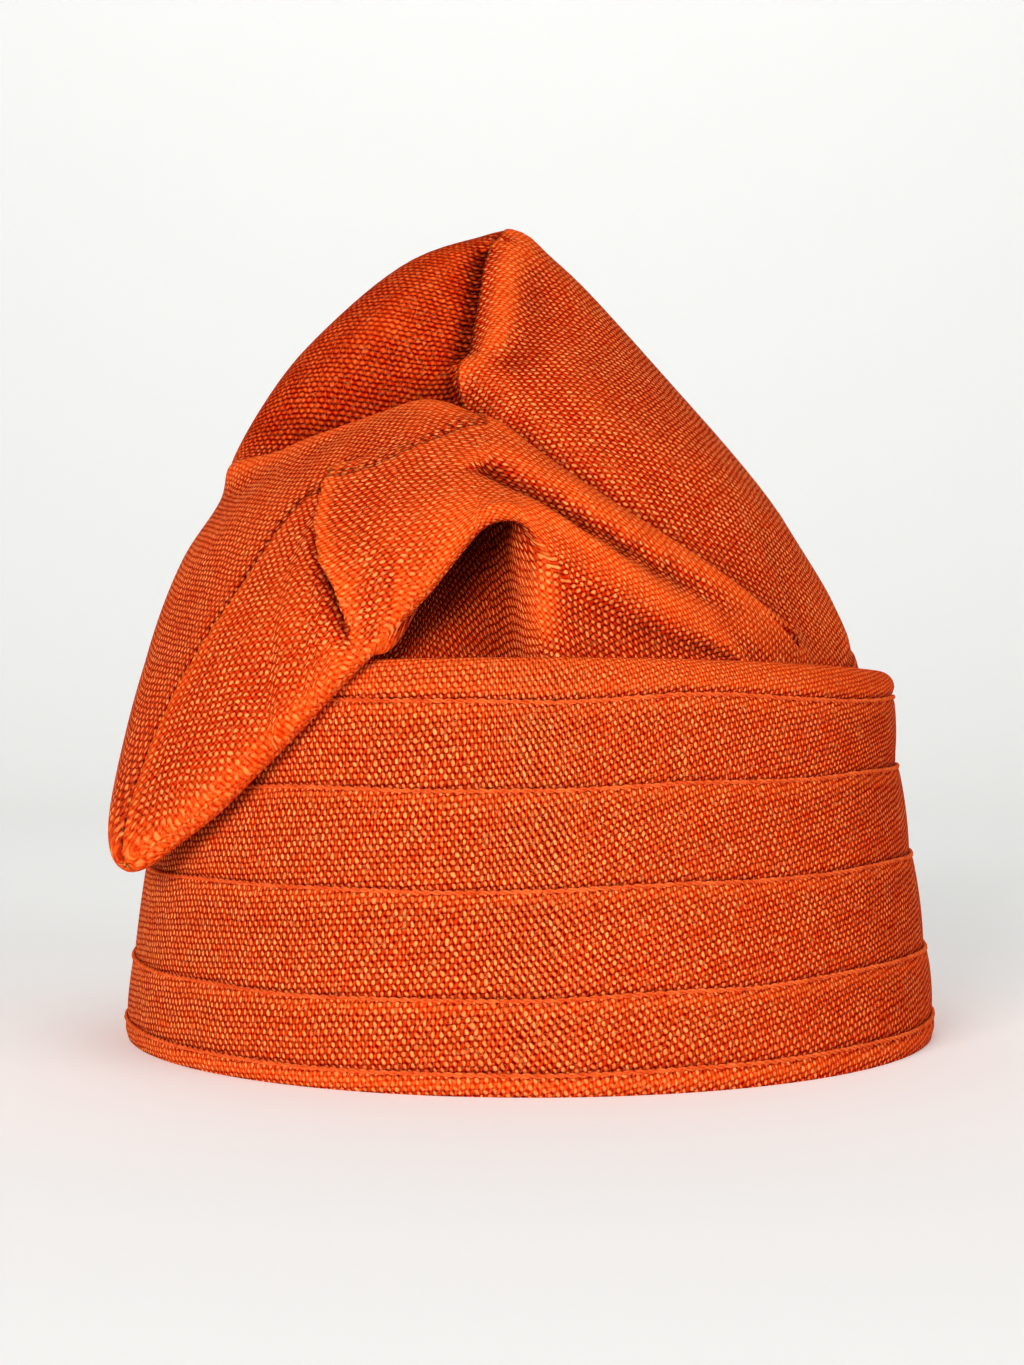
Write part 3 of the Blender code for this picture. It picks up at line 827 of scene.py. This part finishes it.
# Folds pressed into the cloth. Points run along each fold, as azimuth and height share. Left of
# OPEN_FROM the flap hides the cloth under it, and a fold lies either over it or under it
FOLDS = (
    # name, side of the flap, half width, lift, share of its length it fades in over and out over, points
    ("cone_foot", "over", 0.0055, 0.0018, 0.10, 0.40,
     ((-24, 0.60), (-12, 0.62), (-3, 0.575), (9, 0.47), (25, 0.32), (40, 0.18))),
    ("short_valley", "over", 0.0036, -0.0030, 0.16, 0.50,
     ((-8, 0.40), (-4, 0.385), (2, 0.345), (11, 0.272), (24, 0.165), (32, 0.10), (38, 0.05))),
    ("front_pleat", "under", 0.0045, 0.0008, 0.0, 0.0, ((-1.0, 0.25), (0.0, 0.12), (2.5, 0.0))),
    ("blunt_top", "over", 0.0050, 0.0016, 0.0, 0.0, ((60, 0.975), (110, 0.975))),
    ("peak_ridge", "over", 0.0050, 0.0024, 0.20, 0.25, ((40, 0.97), (4, 0.92), (-3, 0.85), (-5, 0.76), (-7, 0.68), (-7, 0.62))),
    ("peak_crease", "over", 0.0042, -0.0018, 0.10, 0.15, ((-18, 0.95), (-20, 0.90), (-17, 0.82), (-17, 0.72), (-19, 0.63))),
)
OPEN_FROM = 2.0
EASE_STEPS = 80

# Columns of faces round the crown, closer together at the flap's fold
COLUMNS = (
    # from azimuth, columns to the next
    (-84, 124),
    (-14, 52),
    (8, 52),
    (56, 80),
)

# Spans from each station up the cloth to the next, in rows of faces. The stations are the sewn edge, its top,
# the neck, the crease, two where the cloth crosses the rim, five round the lip, then the rings above
ROWS = (2, 2, 6, 4, 4, 3, 3, 3, 3, 4, 12, 16, 14, 10, 8, 14, 10, 8, 6)
NECK, OVER_LIP, LIP = 2.0, 6.0, 8.0

# Lines sewn into the crown, as azimuth and place up the cloth, in stations
TOP_SEAM = (
    (-56, 8.6), (-56, 9.5), (-57.5, 10.2), (-56, 10.6), (-53, 10.9), (-49, 11.15), (-43.5, 11.35), (-40.5, 11.6),
    (-38.5, 11.85), (-36, 12.05), (-31, 12.07), (-26, 12.07), (-20.5, 12.2), (-15.5, 12.35), (-12, 12.5),
    (-7, 12.95), (-5.5, 13.4), (-9, 14.2), (-15, 15.0), (-20, 15.8), (-17.5, 16.3), (-17, 17.4), (-20, 17.9),
    (-18, 18.5), (-5, 19.0),
)
LAP_EDGE = (
    (-33.5, 12.3), (-32, 12.1), (-30, 11.6), (-28, 11.35), (-26, 11.0), (-24.3, 10.8), (-22.8, 10.45),
    (-22, 10.2), (-21.3, 9.1), (-20.5, 8.3),
)
BACK_SEAM = ((179.5, 2.5), (179.5, 6), (179.5, 9), (179.5, 12), (179.5, 14), (179.5, 16), (179.5, 17.5), (179.5, 18.9))
LAP_RISE = 0.0030
LAP_WIDTH = 0.0070
LAP_SINK = 0.0014
LAP_SINK_WIDTH = 0.0035
SEAM_RISE = 0.0012
SEAM_WIDTH = 0.0060
SEAM_SINK = 0.0007
SEAM_SINK_WIDTH = 0.0026
PUCKER_PITCH = 0.0024

# How the weave of each part of the crown is turned on the flat cloth
PANELS = (
    # part of the crown, degrees
    ("inside", 65),
    ("flap", -79),
    ("strip", -88),
    ("bulge", 58),
    ("roll", 58),
    ("cone", 60),
    ("left", -51),
    ("left_cone", -22),
)


def around(rows, azimuth):
    """Columns of a ring's table at each azimuth: cubic spans through its rows, closed round the head."""
    table = np.array(sorted(rows), float)
    before, after = table[-2:].copy(), table[:2].copy()
    before[:, 0] -= 360
    after[:, 0] += 360
    table = np.vstack([before, table, after])
    knots, values = table[:, 0], table[:, 1:]
    slopes = np.zeros_like(values)
    slopes[1:-1] = (values[2:] - values[:-2]) / (knots[2:] - knots[:-2])[:, None]
    span = np.clip(np.searchsorted(knots, azimuth, side="right") - 1, 1, len(knots) - 3)
    width = (knots[span + 1] - knots[span])[:, None]
    t = (azimuth - knots[span])[:, None] / width
    return (
        (2 * t**3 - 3 * t**2 + 1) * values[span]
        + (t**3 - 2 * t**2 + t) * width * slopes[span]
        + (3 * t**2 - 2 * t**3) * values[span + 1]
        + (t**3 - t**2) * width * slopes[span + 1]
    ).T


def step_up(value, low, high):
    """0 below low, 1 above high, smooth between."""
    t = np.clip((value - low) / (high - low), 0, 1)
    return t * t * (3 - 2 * t)


def unit(vector):
    return vector / np.maximum(np.linalg.norm(vector, axis=0), 1e-9)


def lip_fold(lip, crease, face):
    """Five points of a round fold at the lip, between the cloth below it and the cloth above it.
    Where the two run nearly straight on, the fold opens into five spaced points of one line."""
    inwards, outwards = unit(crease - lip), unit(face - lip)
    across = unit(outwards - inwards)
    into = np.array([-across[1], across[0]])
    opening = np.arccos(np.clip((inwards * outwards).sum(0), -1, 1)) / math.pi
    room = np.minimum(np.linalg.norm(crease - lip, axis=0), np.linalg.norm(face - lip, axis=0))
    spread = np.minimum(FLAP_SPREAD, room / 5) * opening
    points = []
    for k in (-2, -1, 0, 1, 2):
        turn = k * (1 - opening) * math.pi / 4
        side = FOLD_RADIUS * np.sin(turn) * (1 - opening) + k * spread
        points.append(lip + into * FOLD_RADIUS * (1 - np.cos(turn)) + across * side)
    return points


def crown_stations(azimuth):
    """Radius and height of the crown's stations, from its sewn edge inside the band to its peak."""
    rim = ellipse_radius(RIM_HALF_WIDTH, RIM_HALF_DEPTH, azimuth)
    top = rim_height(azimuth)

    def ring(rows):
        radius, height = around(rows, azimuth)
        return np.array([radius * rim, BAND_HEIGHT + height * CROWN_RISE])

    def seat(height):
        return np.array([band_radius(azimuth, height) - BAND_WALL - SEAT_GAP, height])

    height, flare = around(LIP_LINE, azimuth)
    lip_height = BAND_HEIGHT + height * CROWN_RISE
    stand_off = FLAP_GAP + FOLD_RADIUS + flare * FLAP_FLARE
    lip = np.array([band_radius(azimuth, lip_height) + stand_off, lip_height])
    crease, face = ring(CREASE), ring(FACE)
    hangs = step_up(flare, -0.45, -0.05)
    over = np.array([rim - BAND_WALL, top + 2.5 * FLAP_GAP])
    side = np.array([rim + 1.5 * FLAP_GAP, top + FLAP_GAP])
    over = hangs * over + (1 - hangs) * (crease + (lip - crease) / 3)
    side = hangs * side + (1 - hangs) * (crease + (lip - crease) * 2 / 3)
    fold = lip_fold(lip, np.where(hangs > 0.5, side, crease), face)
    neck = np.array([rim - NECK_INSET, top])
    stations = [seat(top - CROWN_TUCK), seat(top - 0.55 * CROWN_TUCK), neck, crease, over, side]
    stations += fold + [face] + [ring(rows) for rows in (CHEEK, RIDGE, ROLL, VALLEY, CONE, SHOULDER, BROW)]
    stations.append(np.array([0 * rim, 0 * rim + BAND_HEIGHT + CROWN_RISE]))
    return stations


def along(stations, rows):
    """A curve through the stations of each azimuth, by centripetal cubic spans."""
    points = [2 * stations[0] - stations[1], *stations, 2 * stations[-1] - stations[-2]]
    curve = []
    for k, count in enumerate(rows):
        p = points[k : k + 4]
        gaps = [np.maximum(np.sqrt(np.linalg.norm(p[i + 1] - p[i], axis=0)), 1e-5) for i in range(3)]
        t0 = 0 * gaps[0]
        t1 = t0 + gaps[0]
        t2 = t1 + gaps[1]
        t3 = t2 + gaps[2]
        for step in range(count):
            t = t1 + (t2 - t1) * step / count
            a1 = ((t1 - t) * p[0] + (t - t0) * p[1]) / (t1 - t0)
            a2 = ((t2 - t) * p[1] + (t - t1) * p[2]) / (t2 - t1)
            a3 = ((t3 - t) * p[2] + (t - t2) * p[3]) / (t3 - t2)
            b1 = ((t2 - t) * a1 + (t - t0) * a2) / (t2 - t0)
            b2 = ((t3 - t) * a2 + (t - t1) * a3) / (t3 - t1)
            curve.append(((t2 - t) * b1 + (t - t1) * b2) / (t2 - t1))
    curve.append(stations[-1])
    return np.array(curve)


def lean(radius, height, azimuth):
    """Points in space. The crown's axis leans from the centre of the rim to its peak."""
    points = round_head(radius, height, azimuth)
    share = np.clip((height - BAND_HEIGHT) / CROWN_RISE, 0, 1)
    return points + share[..., None] * np.array([PEAK_SHIFT_X, PEAK_SHIFT_Y, 0])


STATION = np.interp(np.arange(sum(ROWS) + 1), np.concatenate([[0], np.cumsum(ROWS)]), np.arange(len(ROWS) + 1))


def fold_line(sheet, azimuth, side, points):
    """A fold's points on the outside of the cloth, joined by short steps."""
    line = []
    for (a0, h0), (a1, h1) in zip(points, points[1:]):
        for t in np.linspace(0, 1, 12):
            at = a0 + (a1 - a0) * t
            column = int(np.argmin(np.abs(azimuth - at)))
            rows = sheet[STATION >= (NECK if side == "under" or at > OPEN_FROM else LIP), column]
            heights = np.maximum.accumulate(rows[:, 2])
            target = BAND_HEIGHT + (h0 + (h1 - h0) * t) * CROWN_RISE
            line.append([np.interp(target, heights, rows[:, i]) for i in range(3)])
    return np.array(line)


def press_folds(sheet, azimuth):
    """Lifts the cloth along each fold, most on its line and fading to nothing either side."""
    normal = sheet_normals(sheet)
    station = STATION[:, None]
    opened = step_up(azimuth, OPEN_FROM - 4, OPEN_FROM + 2)[None]
    lift = np.zeros(sheet.shape[:2])
    for _, side, half_width, height, rise, fall, points in FOLDS:
        line = fold_line(sheet, azimuth, side, points)
        away = np.array([np.linalg.norm(sheet - point, axis=2) for point in line])
        share = away.argmin(axis=0) / (len(line) - 1)
        fade = step_up(share, -0.001, rise) * step_up(1 - share, -0.001, fall)
        reached = station < OVER_LIP if side == "under" else station >= LIP
        lift += height * fade * np.exp(-((away.min(axis=0) / half_width) ** 2)) * np.where(reached, 1, opened)
    lift *= step_up(station, NECK - 1, NECK + 0.5)
    return sheet + normal * lift[:, :, None]


def ease_rows(sheet, azimuth):
    """Spreads out the rows that crowd together where no flap hangs: each point moves towards the middle of
    its neighbours up and down the cloth, again and again, from the crease to the cheek and, where the roll
    dies out at the right, to the valley behind it."""
    free = step_up(azimuth, 12, 22) + 1 - step_up(azimuth, -168, -152)
    top = 12 + 3.8 * step_up(azimuth, 42, 54) * (1 - step_up(azimuth, 100, 120))
    share = free * (STATION[1:-1, None] > 3) * (STATION[1:-1, None] < top)
    for _ in range(EASE_STEPS):
        middle = 0.5 * (sheet[:-2] + sheet[2:]) - sheet[1:-1]
        sheet[1:-1] += 0.5 * share[:, :, None] * middle
    return sheet


def sewn_line(sheet, azimuth, points):
    """Signed distance from a line on the cloth, above 0 on its left as it runs upwards, and length along it.
    The line runs smoothly through its points, and each place on the cloth goes by the nearest point of it."""
    order = np.argsort(azimuth)
    table = np.array(points, float)
    t = np.arange(len(table))
    fine = np.linspace(0, len(table) - 1, 24 * len(table))
    column = np.interp(np.interp(fine, t, table[:, 0]), azimuth[order], order.astype(float))
    row = np.interp(np.interp(fine, t, table[:, 1]), STATION, np.arange(len(STATION)))
    column = np.convolve(np.pad(column, 12, mode="edge"), np.ones(25) / 25, mode="valid")
    row = np.convolve(np.pad(row, 12, mode="edge"), np.ones(25) / 25, mode="valid")
    c0 = np.floor(column).astype(int) % len(azimuth)
    c1 = (c0 + 1) % len(azimuth)
    r0 = np.minimum(np.floor(row).astype(int), len(STATION) - 2)
    fc, fr = (column - np.floor(column))[:, None], (row - r0)[:, None]
    low = sheet[r0, c0] * (1 - fc) + sheet[r0, c1] * fc
    high = sheet[r0 + 1, c0] * (1 - fc) + sheet[r0 + 1, c1] * fc
    line = low * (1 - fr) + high * fr
    ahead = np.gradient(line, axis=0)
    ahead /= np.maximum(np.linalg.norm(ahead, axis=1, keepdims=True), 1e-12)
    length = np.concatenate([[0], np.cumsum(np.linalg.norm(np.diff(line, axis=0), axis=1))])
    flat = sheet.reshape(-1, 3)
    nearest = np.concatenate([
        np.argmin(((part[:, None] - line[None]) ** 2).sum(axis=2), axis=1)
        for part in np.array_split(flat, 40)
    ])
    away = flat - line[nearest]
    left = np.cross(sheet_normals(sheet).reshape(-1, 3), ahead[nearest])
    past = np.abs((away * ahead[nearest]).sum(axis=1))
    distance = np.sqrt(np.maximum((away**2).sum(axis=1) - past**2, 0))
    side = np.sign((away * left).sum(axis=1))
    reach = np.exp(-((past / 0.0015) ** 2))
    shape = sheet.shape[:2]
    return (side * distance).reshape(shape), length[nearest].reshape(shape), reach.reshape(shape)


def sew(sheet, azimuth):
    """Steps the cloth at its sewn lines: one side laps over the other, and the top seam's far side puckers."""
    normal = sheet_normals(sheet)
    over = (STATION >= LIP)[:, None]
    seam, seam_length, seam_near = sewn_line(sheet, azimuth, TOP_SEAM)
    lap, lap_length, lap_near = sewn_line(sheet, azimuth, LAP_EDGE)
    ends = step_up(lap_length, 0, 0.003) * step_up(lap_length.max() - lap_length, 0, 0.016)
    raised = step_up(lap, -0.0003, 0.0006) * np.exp(-np.maximum(lap, 0) / LAP_WIDTH) * LAP_RISE
    sunk = step_up(-lap, -0.0006, 0.0003) * np.exp(-np.maximum(-lap, 0) / LAP_SINK_WIDTH) * LAP_SINK
    lift = (raised - sunk) * ends * lap_near
    fades = 1 - step_up(seam_length, 0.055, 0.075) * 0.75
    pucker = 1 + 0.25 * np.sin(2 * math.pi * seam_length / PUCKER_PITCH)
    raised = step_up(-seam, -0.0003, 0.0006) * np.exp(-np.maximum(-seam, 0) / SEAM_WIDTH) * SEAM_RISE
    sunk = step_up(seam, -0.0006, 0.0003) * np.exp(-np.maximum(seam, 0) / SEAM_SINK_WIDTH) * SEAM_SINK
    lift += (raised - sunk * pucker) * seam_near * fades
    back, back_length, back_near = sewn_line(sheet, azimuth, BACK_SEAM)
    lift = lift * over - 0.0006 * np.exp(-((back / 0.0012) ** 2)) * back_near
    moved = sheet + normal * lift[:, :, None]
    double = over * seam_near * step_up(seam_length, 0.058, 0.066) * (1 - step_up(seam_length, 0.100, 0.110))
    marks = {
        "top_seam": np.where(over, seam, 0.05),
        "seam_depth": over * seam_near * (1 - 0.45 * step_up(seam_length, 0.055, 0.065)),
        "seam_along": seam_length,
        "seam_double": 0.5 * double,
        "lap_edge": np.where(over, lap, 0.05) + 0.0003,
        "lap_depth": over * lap_near * ends,
        "lap_along": lap_length,
        "back_seam": back,
        "back_depth": 0.8 * back_near,
        "back_along": back_length,
    }
    return moved, marks


def crown_panels(marks, azimuth):
    """Which part of the crown each face belongs to, as its place in PANELS: the seam and the lapped edge bound
    the strip, the top seam the left side, and folds the rest."""
    station = STATION[:, None]
    right = azimuth[None] > -6
    left = (marks["top_seam"] > 0) & (station >= LIP) & (azimuth[None] > -176) & (azimuth[None] < 20)
    left = left | (azimuth[None] < -90)
    strip = (station >= LIP) & (azimuth[None] < -18) & (marks["lap_edge"] < 0.0003) & (station < 12.1)
    at = [name for name, _ in PANELS]
    which = np.full(marks["top_seam"].shape, at.index("flap"))
    which = np.where(right & (station < 12.4), at.index("bulge"), which)
    which = np.where(right & (station >= 12.4), at.index("roll"), which)
    which = np.where(~right & (station < LIP), at.index("inside"), which)
    which = np.where(station >= 15, at.index("cone"), which)
    which = np.where(strip, at.index("strip"), which)
    return np.where(left, np.where(station >= 15, at.index("left_cone"), at.index("left")), which)


def turned(flat, degrees):
    """The flat cloth's coordinates turned about its origin."""
    turn = math.radians(degrees)
    return flat @ np.array([[math.cos(turn), math.sin(turn)], [-math.sin(turn), math.cos(turn)]]).T


def soften(grid, passes, axes):
    """Blurs a grid of values along the axes, a little more with each pass."""
    for _ in range(passes):
        for axis in axes:
            edges = np.pad(grid, [(int(k == axis),) * 2 for k in range(3)], mode="edge")
            edges = np.moveaxis(edges, axis, 0)
            grid = np.moveaxis(0.25 * edges[:-2] + 0.5 * edges[1:-1] + 0.25 * edges[2:], 0, axis)
    return grid


def flatten(sheet, azimuth):
    """The cloth laid flat. It starts as a fan about the peak, each point as far out as it lies down its own
    meridian, and springs along rows, columns and diagonals then take their lengths in space."""
    step = 4
    rows = np.unique(np.append(np.arange(0, len(sheet), step), len(sheet) - 1))
    columns = np.arange(0, sheet.shape[1] + 1, step)
    grid = np.concatenate([sheet, sheet[:, :1]], axis=1)
    turn = np.unwrap(np.radians(np.append(azimuth, azimuth[0])))
    down = np.linalg.norm(np.diff(grid, axis=0), axis=2)
    down = np.cumsum(np.concatenate([np.zeros((1, grid.shape[1])), down[::-1]]), axis=0)[::-1]
    fan = FAN_SHARE * turn
    start = np.stack([down * np.sin(fan), -down * np.cos(fan)], axis=-1)
    solid = grid[np.ix_(rows, columns)]
    flat = start[np.ix_(rows, columns)]
    springs = []
    for dr, dc in ((0, 1), (1, 0), (1, 1), (1, -1)):
        a = (slice(0, len(rows) - dr), slice(max(0, -dc), len(columns) - max(0, dc)))
        b = (slice(dr, len(rows)), slice(max(0, dc), len(columns) + min(0, dc)))
        springs.append((a, b, np.linalg.norm(solid[b] - solid[a], axis=2)))
    for _ in range(FLATTEN_STEPS):
        pull, count = np.zeros_like(flat), np.zeros(flat.shape[:2])
        for a, b, length in springs:
            gap = flat[b] - flat[a]
            now = np.maximum(np.linalg.norm(gap, axis=2), 1e-9)
            shift = gap * (0.5 * (1 - length / now))[:, :, None]
            pull[a] += shift
            pull[b] -= shift
            count[a] += 1
            count[b] += 1
        flat = flat + 1.6 * pull / count[:, :, None]
    moved = flat - start[np.ix_(rows, columns)]
    moved = soften(moved, 5, (0, 1))
    at = np.degrees(turn[columns])
    narrow = step_up(STATION[rows], 14.4, 15.6)[:, None] * (step_up(at, -125, -95) * (1 - step_up(at, -42, -24)))[None]
    moved += narrow[:, :, None] * (soften(moved, 90, (1,)) - moved)
    moved = np.stack([[np.interp(np.arange(len(sheet)), rows, moved[:, c, k]) for c in range(len(columns))]
                      for k in (0, 1)], axis=-1)
    moved = np.stack([[np.interp(np.arange(grid.shape[1]), columns, moved[:, r, k]) for r in range(len(sheet))]
                      for k in (0, 1)], axis=-1)
    return start + moved


FAN_SHARE = 0.60
FLATTEN_STEPS = 900

starts = [start for start, _ in COLUMNS]
ends = [*starts[1:], starts[0] + 360]
azimuth = np.concatenate([a + (b - a) * np.arange(n) / n for a, b, (_, n) in zip(starts, ends, COLUMNS)])
azimuth = np.where(azimuth > 180, azimuth - 360, azimuth)
azimuth = np.sort(azimuth)
curve = along(crown_stations(azimuth), ROWS)
crown_points = ease_rows(lean(curve[:, 0], curve[:, 1], azimuth), azimuth)
crown_points = press_folds(crown_points, azimuth)
crown_points, marks = sew(crown_points, azimuth)
crown_flat = flatten(crown_points, azimuth)
panel = panel_at = crown_panels(marks, azimuth)
crown_flats = np.array([turned(crown_flat, degrees) for _, degrees in PANELS])
# How the crown bends: its crests are rubbed pale, and its creases are darkened as painted shade, more where the bend
# is wide.
bend = 2.2 * crests_and_creases(crown_points, 0.0035) + 1.3 * crests_and_creases(crown_points, 0.010)
station = STATION[:, None]
# Painted shade: the cloth under the flap, on the left face of the cone, along the cone's foot and a little on its
# right is darkened in colour, where the folds shade it.
left_cone = step_up(station, 14.9, 15.4) * step_up(azimuth, -150, -95) * (marks["top_seam"] > 0) * (azimuth < 0)
foot = np.exp(-(((station - 15.25) / 0.40) ** 2)) * step_up(azimuth, -14, 0) * (1 - step_up(azimuth, 44, 60))
hidden = (1 - step_up(azimuth, -5, 1)) * step_up(azimuth, -120, -70) * (station < LIP)
painted_shade = 1.0 * hidden + 0.28 * left_cone + 0.24 * foot + 0.14 * step_up(station, 15.3, 15.8) * step_up(azimuth, -30, 0)
marks["wear_and_shade"] = np.clip(bend - painted_shade * (1 - step_up(np.abs(azimuth), 120, 170)), -1, 1)
marks["ribs"] = 0.35 * np.exp(-(((azimuth - 1) / 3) ** 2)) * (station < OVER_LIP) - 0.7 * left_cone
crown = ring_mesh("crown_cloth", crown_points, crown_flats, panel, False, marks)
wall = crown.modifiers.new("wall", "SOLIDIFY")
wall.thickness = CROWN_WALL
wall.offset = -1
grooves = (
    ("top_seam", "seam_depth", "seam_along", 0.0008, 1.0, 0.0),
    ("top_seam", "seam_double", "seam_along", 0.0006, 0, 0.0016),
    ("lap_edge", "lap_depth", "lap_along", 0.0010, 0, 0.0),
    ("back_seam", "back_depth", "back_along", 0.0009, 0, 0.0),
)
crown.data.materials.append(plain_weave("crown_weave", grooves))
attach(crown, "root")
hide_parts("crown")


# The floor the cap stands on, swept up behind it into a plain backdrop.
FLOOR_HALF = 2.2
SWEEP_START = 0.9
SWEEP_RADIUS = 0.8


def sweep_floor():
    """A strip whose profile runs flat, then up a quarter circle, then straight up."""
    turn = np.radians(np.linspace(0, 90, 24))
    depth = np.concatenate([[-2.2], SWEEP_START + SWEEP_RADIUS * np.sin(turn), [SWEEP_START + SWEEP_RADIUS]])
    height = np.concatenate([[0], SWEEP_RADIUS * (1 - np.cos(turn)), [2.6]])
    sides = np.array([-FLOOR_HALF, FLOOR_HALF])
    points = np.stack(np.broadcast_arrays(sides[None], depth[:, None], height[:, None]), axis=-1).reshape(-1, 3)
    row = np.arange(len(depth) - 1)[:, None] * 2
    faces = (row + np.array([[0, 1, 3, 2]])).tolist()
    mesh = bpy.data.meshes.new("floor")
    mesh.from_pydata(points.tolist(), [], faces)
    mesh.shade_smooth()
    made = bpy.data.objects.new("floor", mesh)
    bpy.context.scene.collection.objects.link(made)
    return made


floor = sweep_floor()
paper = bpy.data.materials.new("paper")
paper.use_nodes = True
paper.node_tree.nodes["Principled BSDF"].inputs["Base Color"].default_value = (0.94, 0.94, 0.925, 1)
paper.node_tree.nodes["Principled BSDF"].inputs["Roughness"].default_value = 1.0
paper.node_tree.nodes["Principled BSDF"].inputs["Specular IOR Level"].default_value = 0.0
paper.node_tree.nodes["Principled BSDF"].inputs["Emission Color"].default_value = (1, 1, 0.97, 1)
paper.node_tree.nodes["Principled BSDF"].inputs["Emission Strength"].default_value = 0.15
floor.data.materials.append(paper)

# Soft studio light: a wide lamp in front and above, a fill from the right, and pale air all round.
LAMPS = (
    # name, watts, size in metres, place, aim
    ("key", 32, 0.8, (-0.75, -1.70, 0.50), (0, 0, 0.09)),
    ("fill", 14, 1.2, (1.2, -1.2, 0.40), (0, 0, 0.08)),
    ("top", 3, 1.0, (0.2, -0.2, 1.6), (0, 0, 0.1)),
    ("backdrop", 5, 1.6, (0.0, 0.55, 1.5), (0, 1.7, 0.5)),
)
for name, watts, size, spot, aim in LAMPS:
    lamp = bpy.data.objects.new(name, bpy.data.lights.new(name, "AREA"))
    lamp.data.energy, lamp.data.size = watts, size
    lamp.location = spot
    toward = mathutils.Vector(aim) - mathutils.Vector(spot)
    lamp.rotation_euler = toward.to_track_quat("-Z", "Y").to_euler()
    bpy.context.scene.collection.objects.link(lamp)
air = bpy.data.worlds.new("air")
air.use_nodes = True
air.node_tree.nodes["Background"].inputs["Color"].default_value = (1.0, 1.0, 0.985, 1)
air.node_tree.nodes["Background"].inputs["Strength"].default_value = 0.14
bpy.context.scene.world = air
bpy.context.scene.view_settings.view_transform = "Standard"

# The camera stands half a metre in front, level, a little below the rim, as the photograph was taken.
camera = bpy.data.objects.new("camera", bpy.data.cameras.new("camera"))
camera.data.lens = 62.4
camera.data.sensor_fit = "AUTO"
camera.data.sensor_width = 36
camera.data.clip_start = 0.01
camera.location = (-0.004, -0.55, 0.0792)
camera.rotation_euler = (math.radians(90), 0, 0)
bpy.context.scene.collection.objects.link(camera)
bpy.context.scene.camera = camera
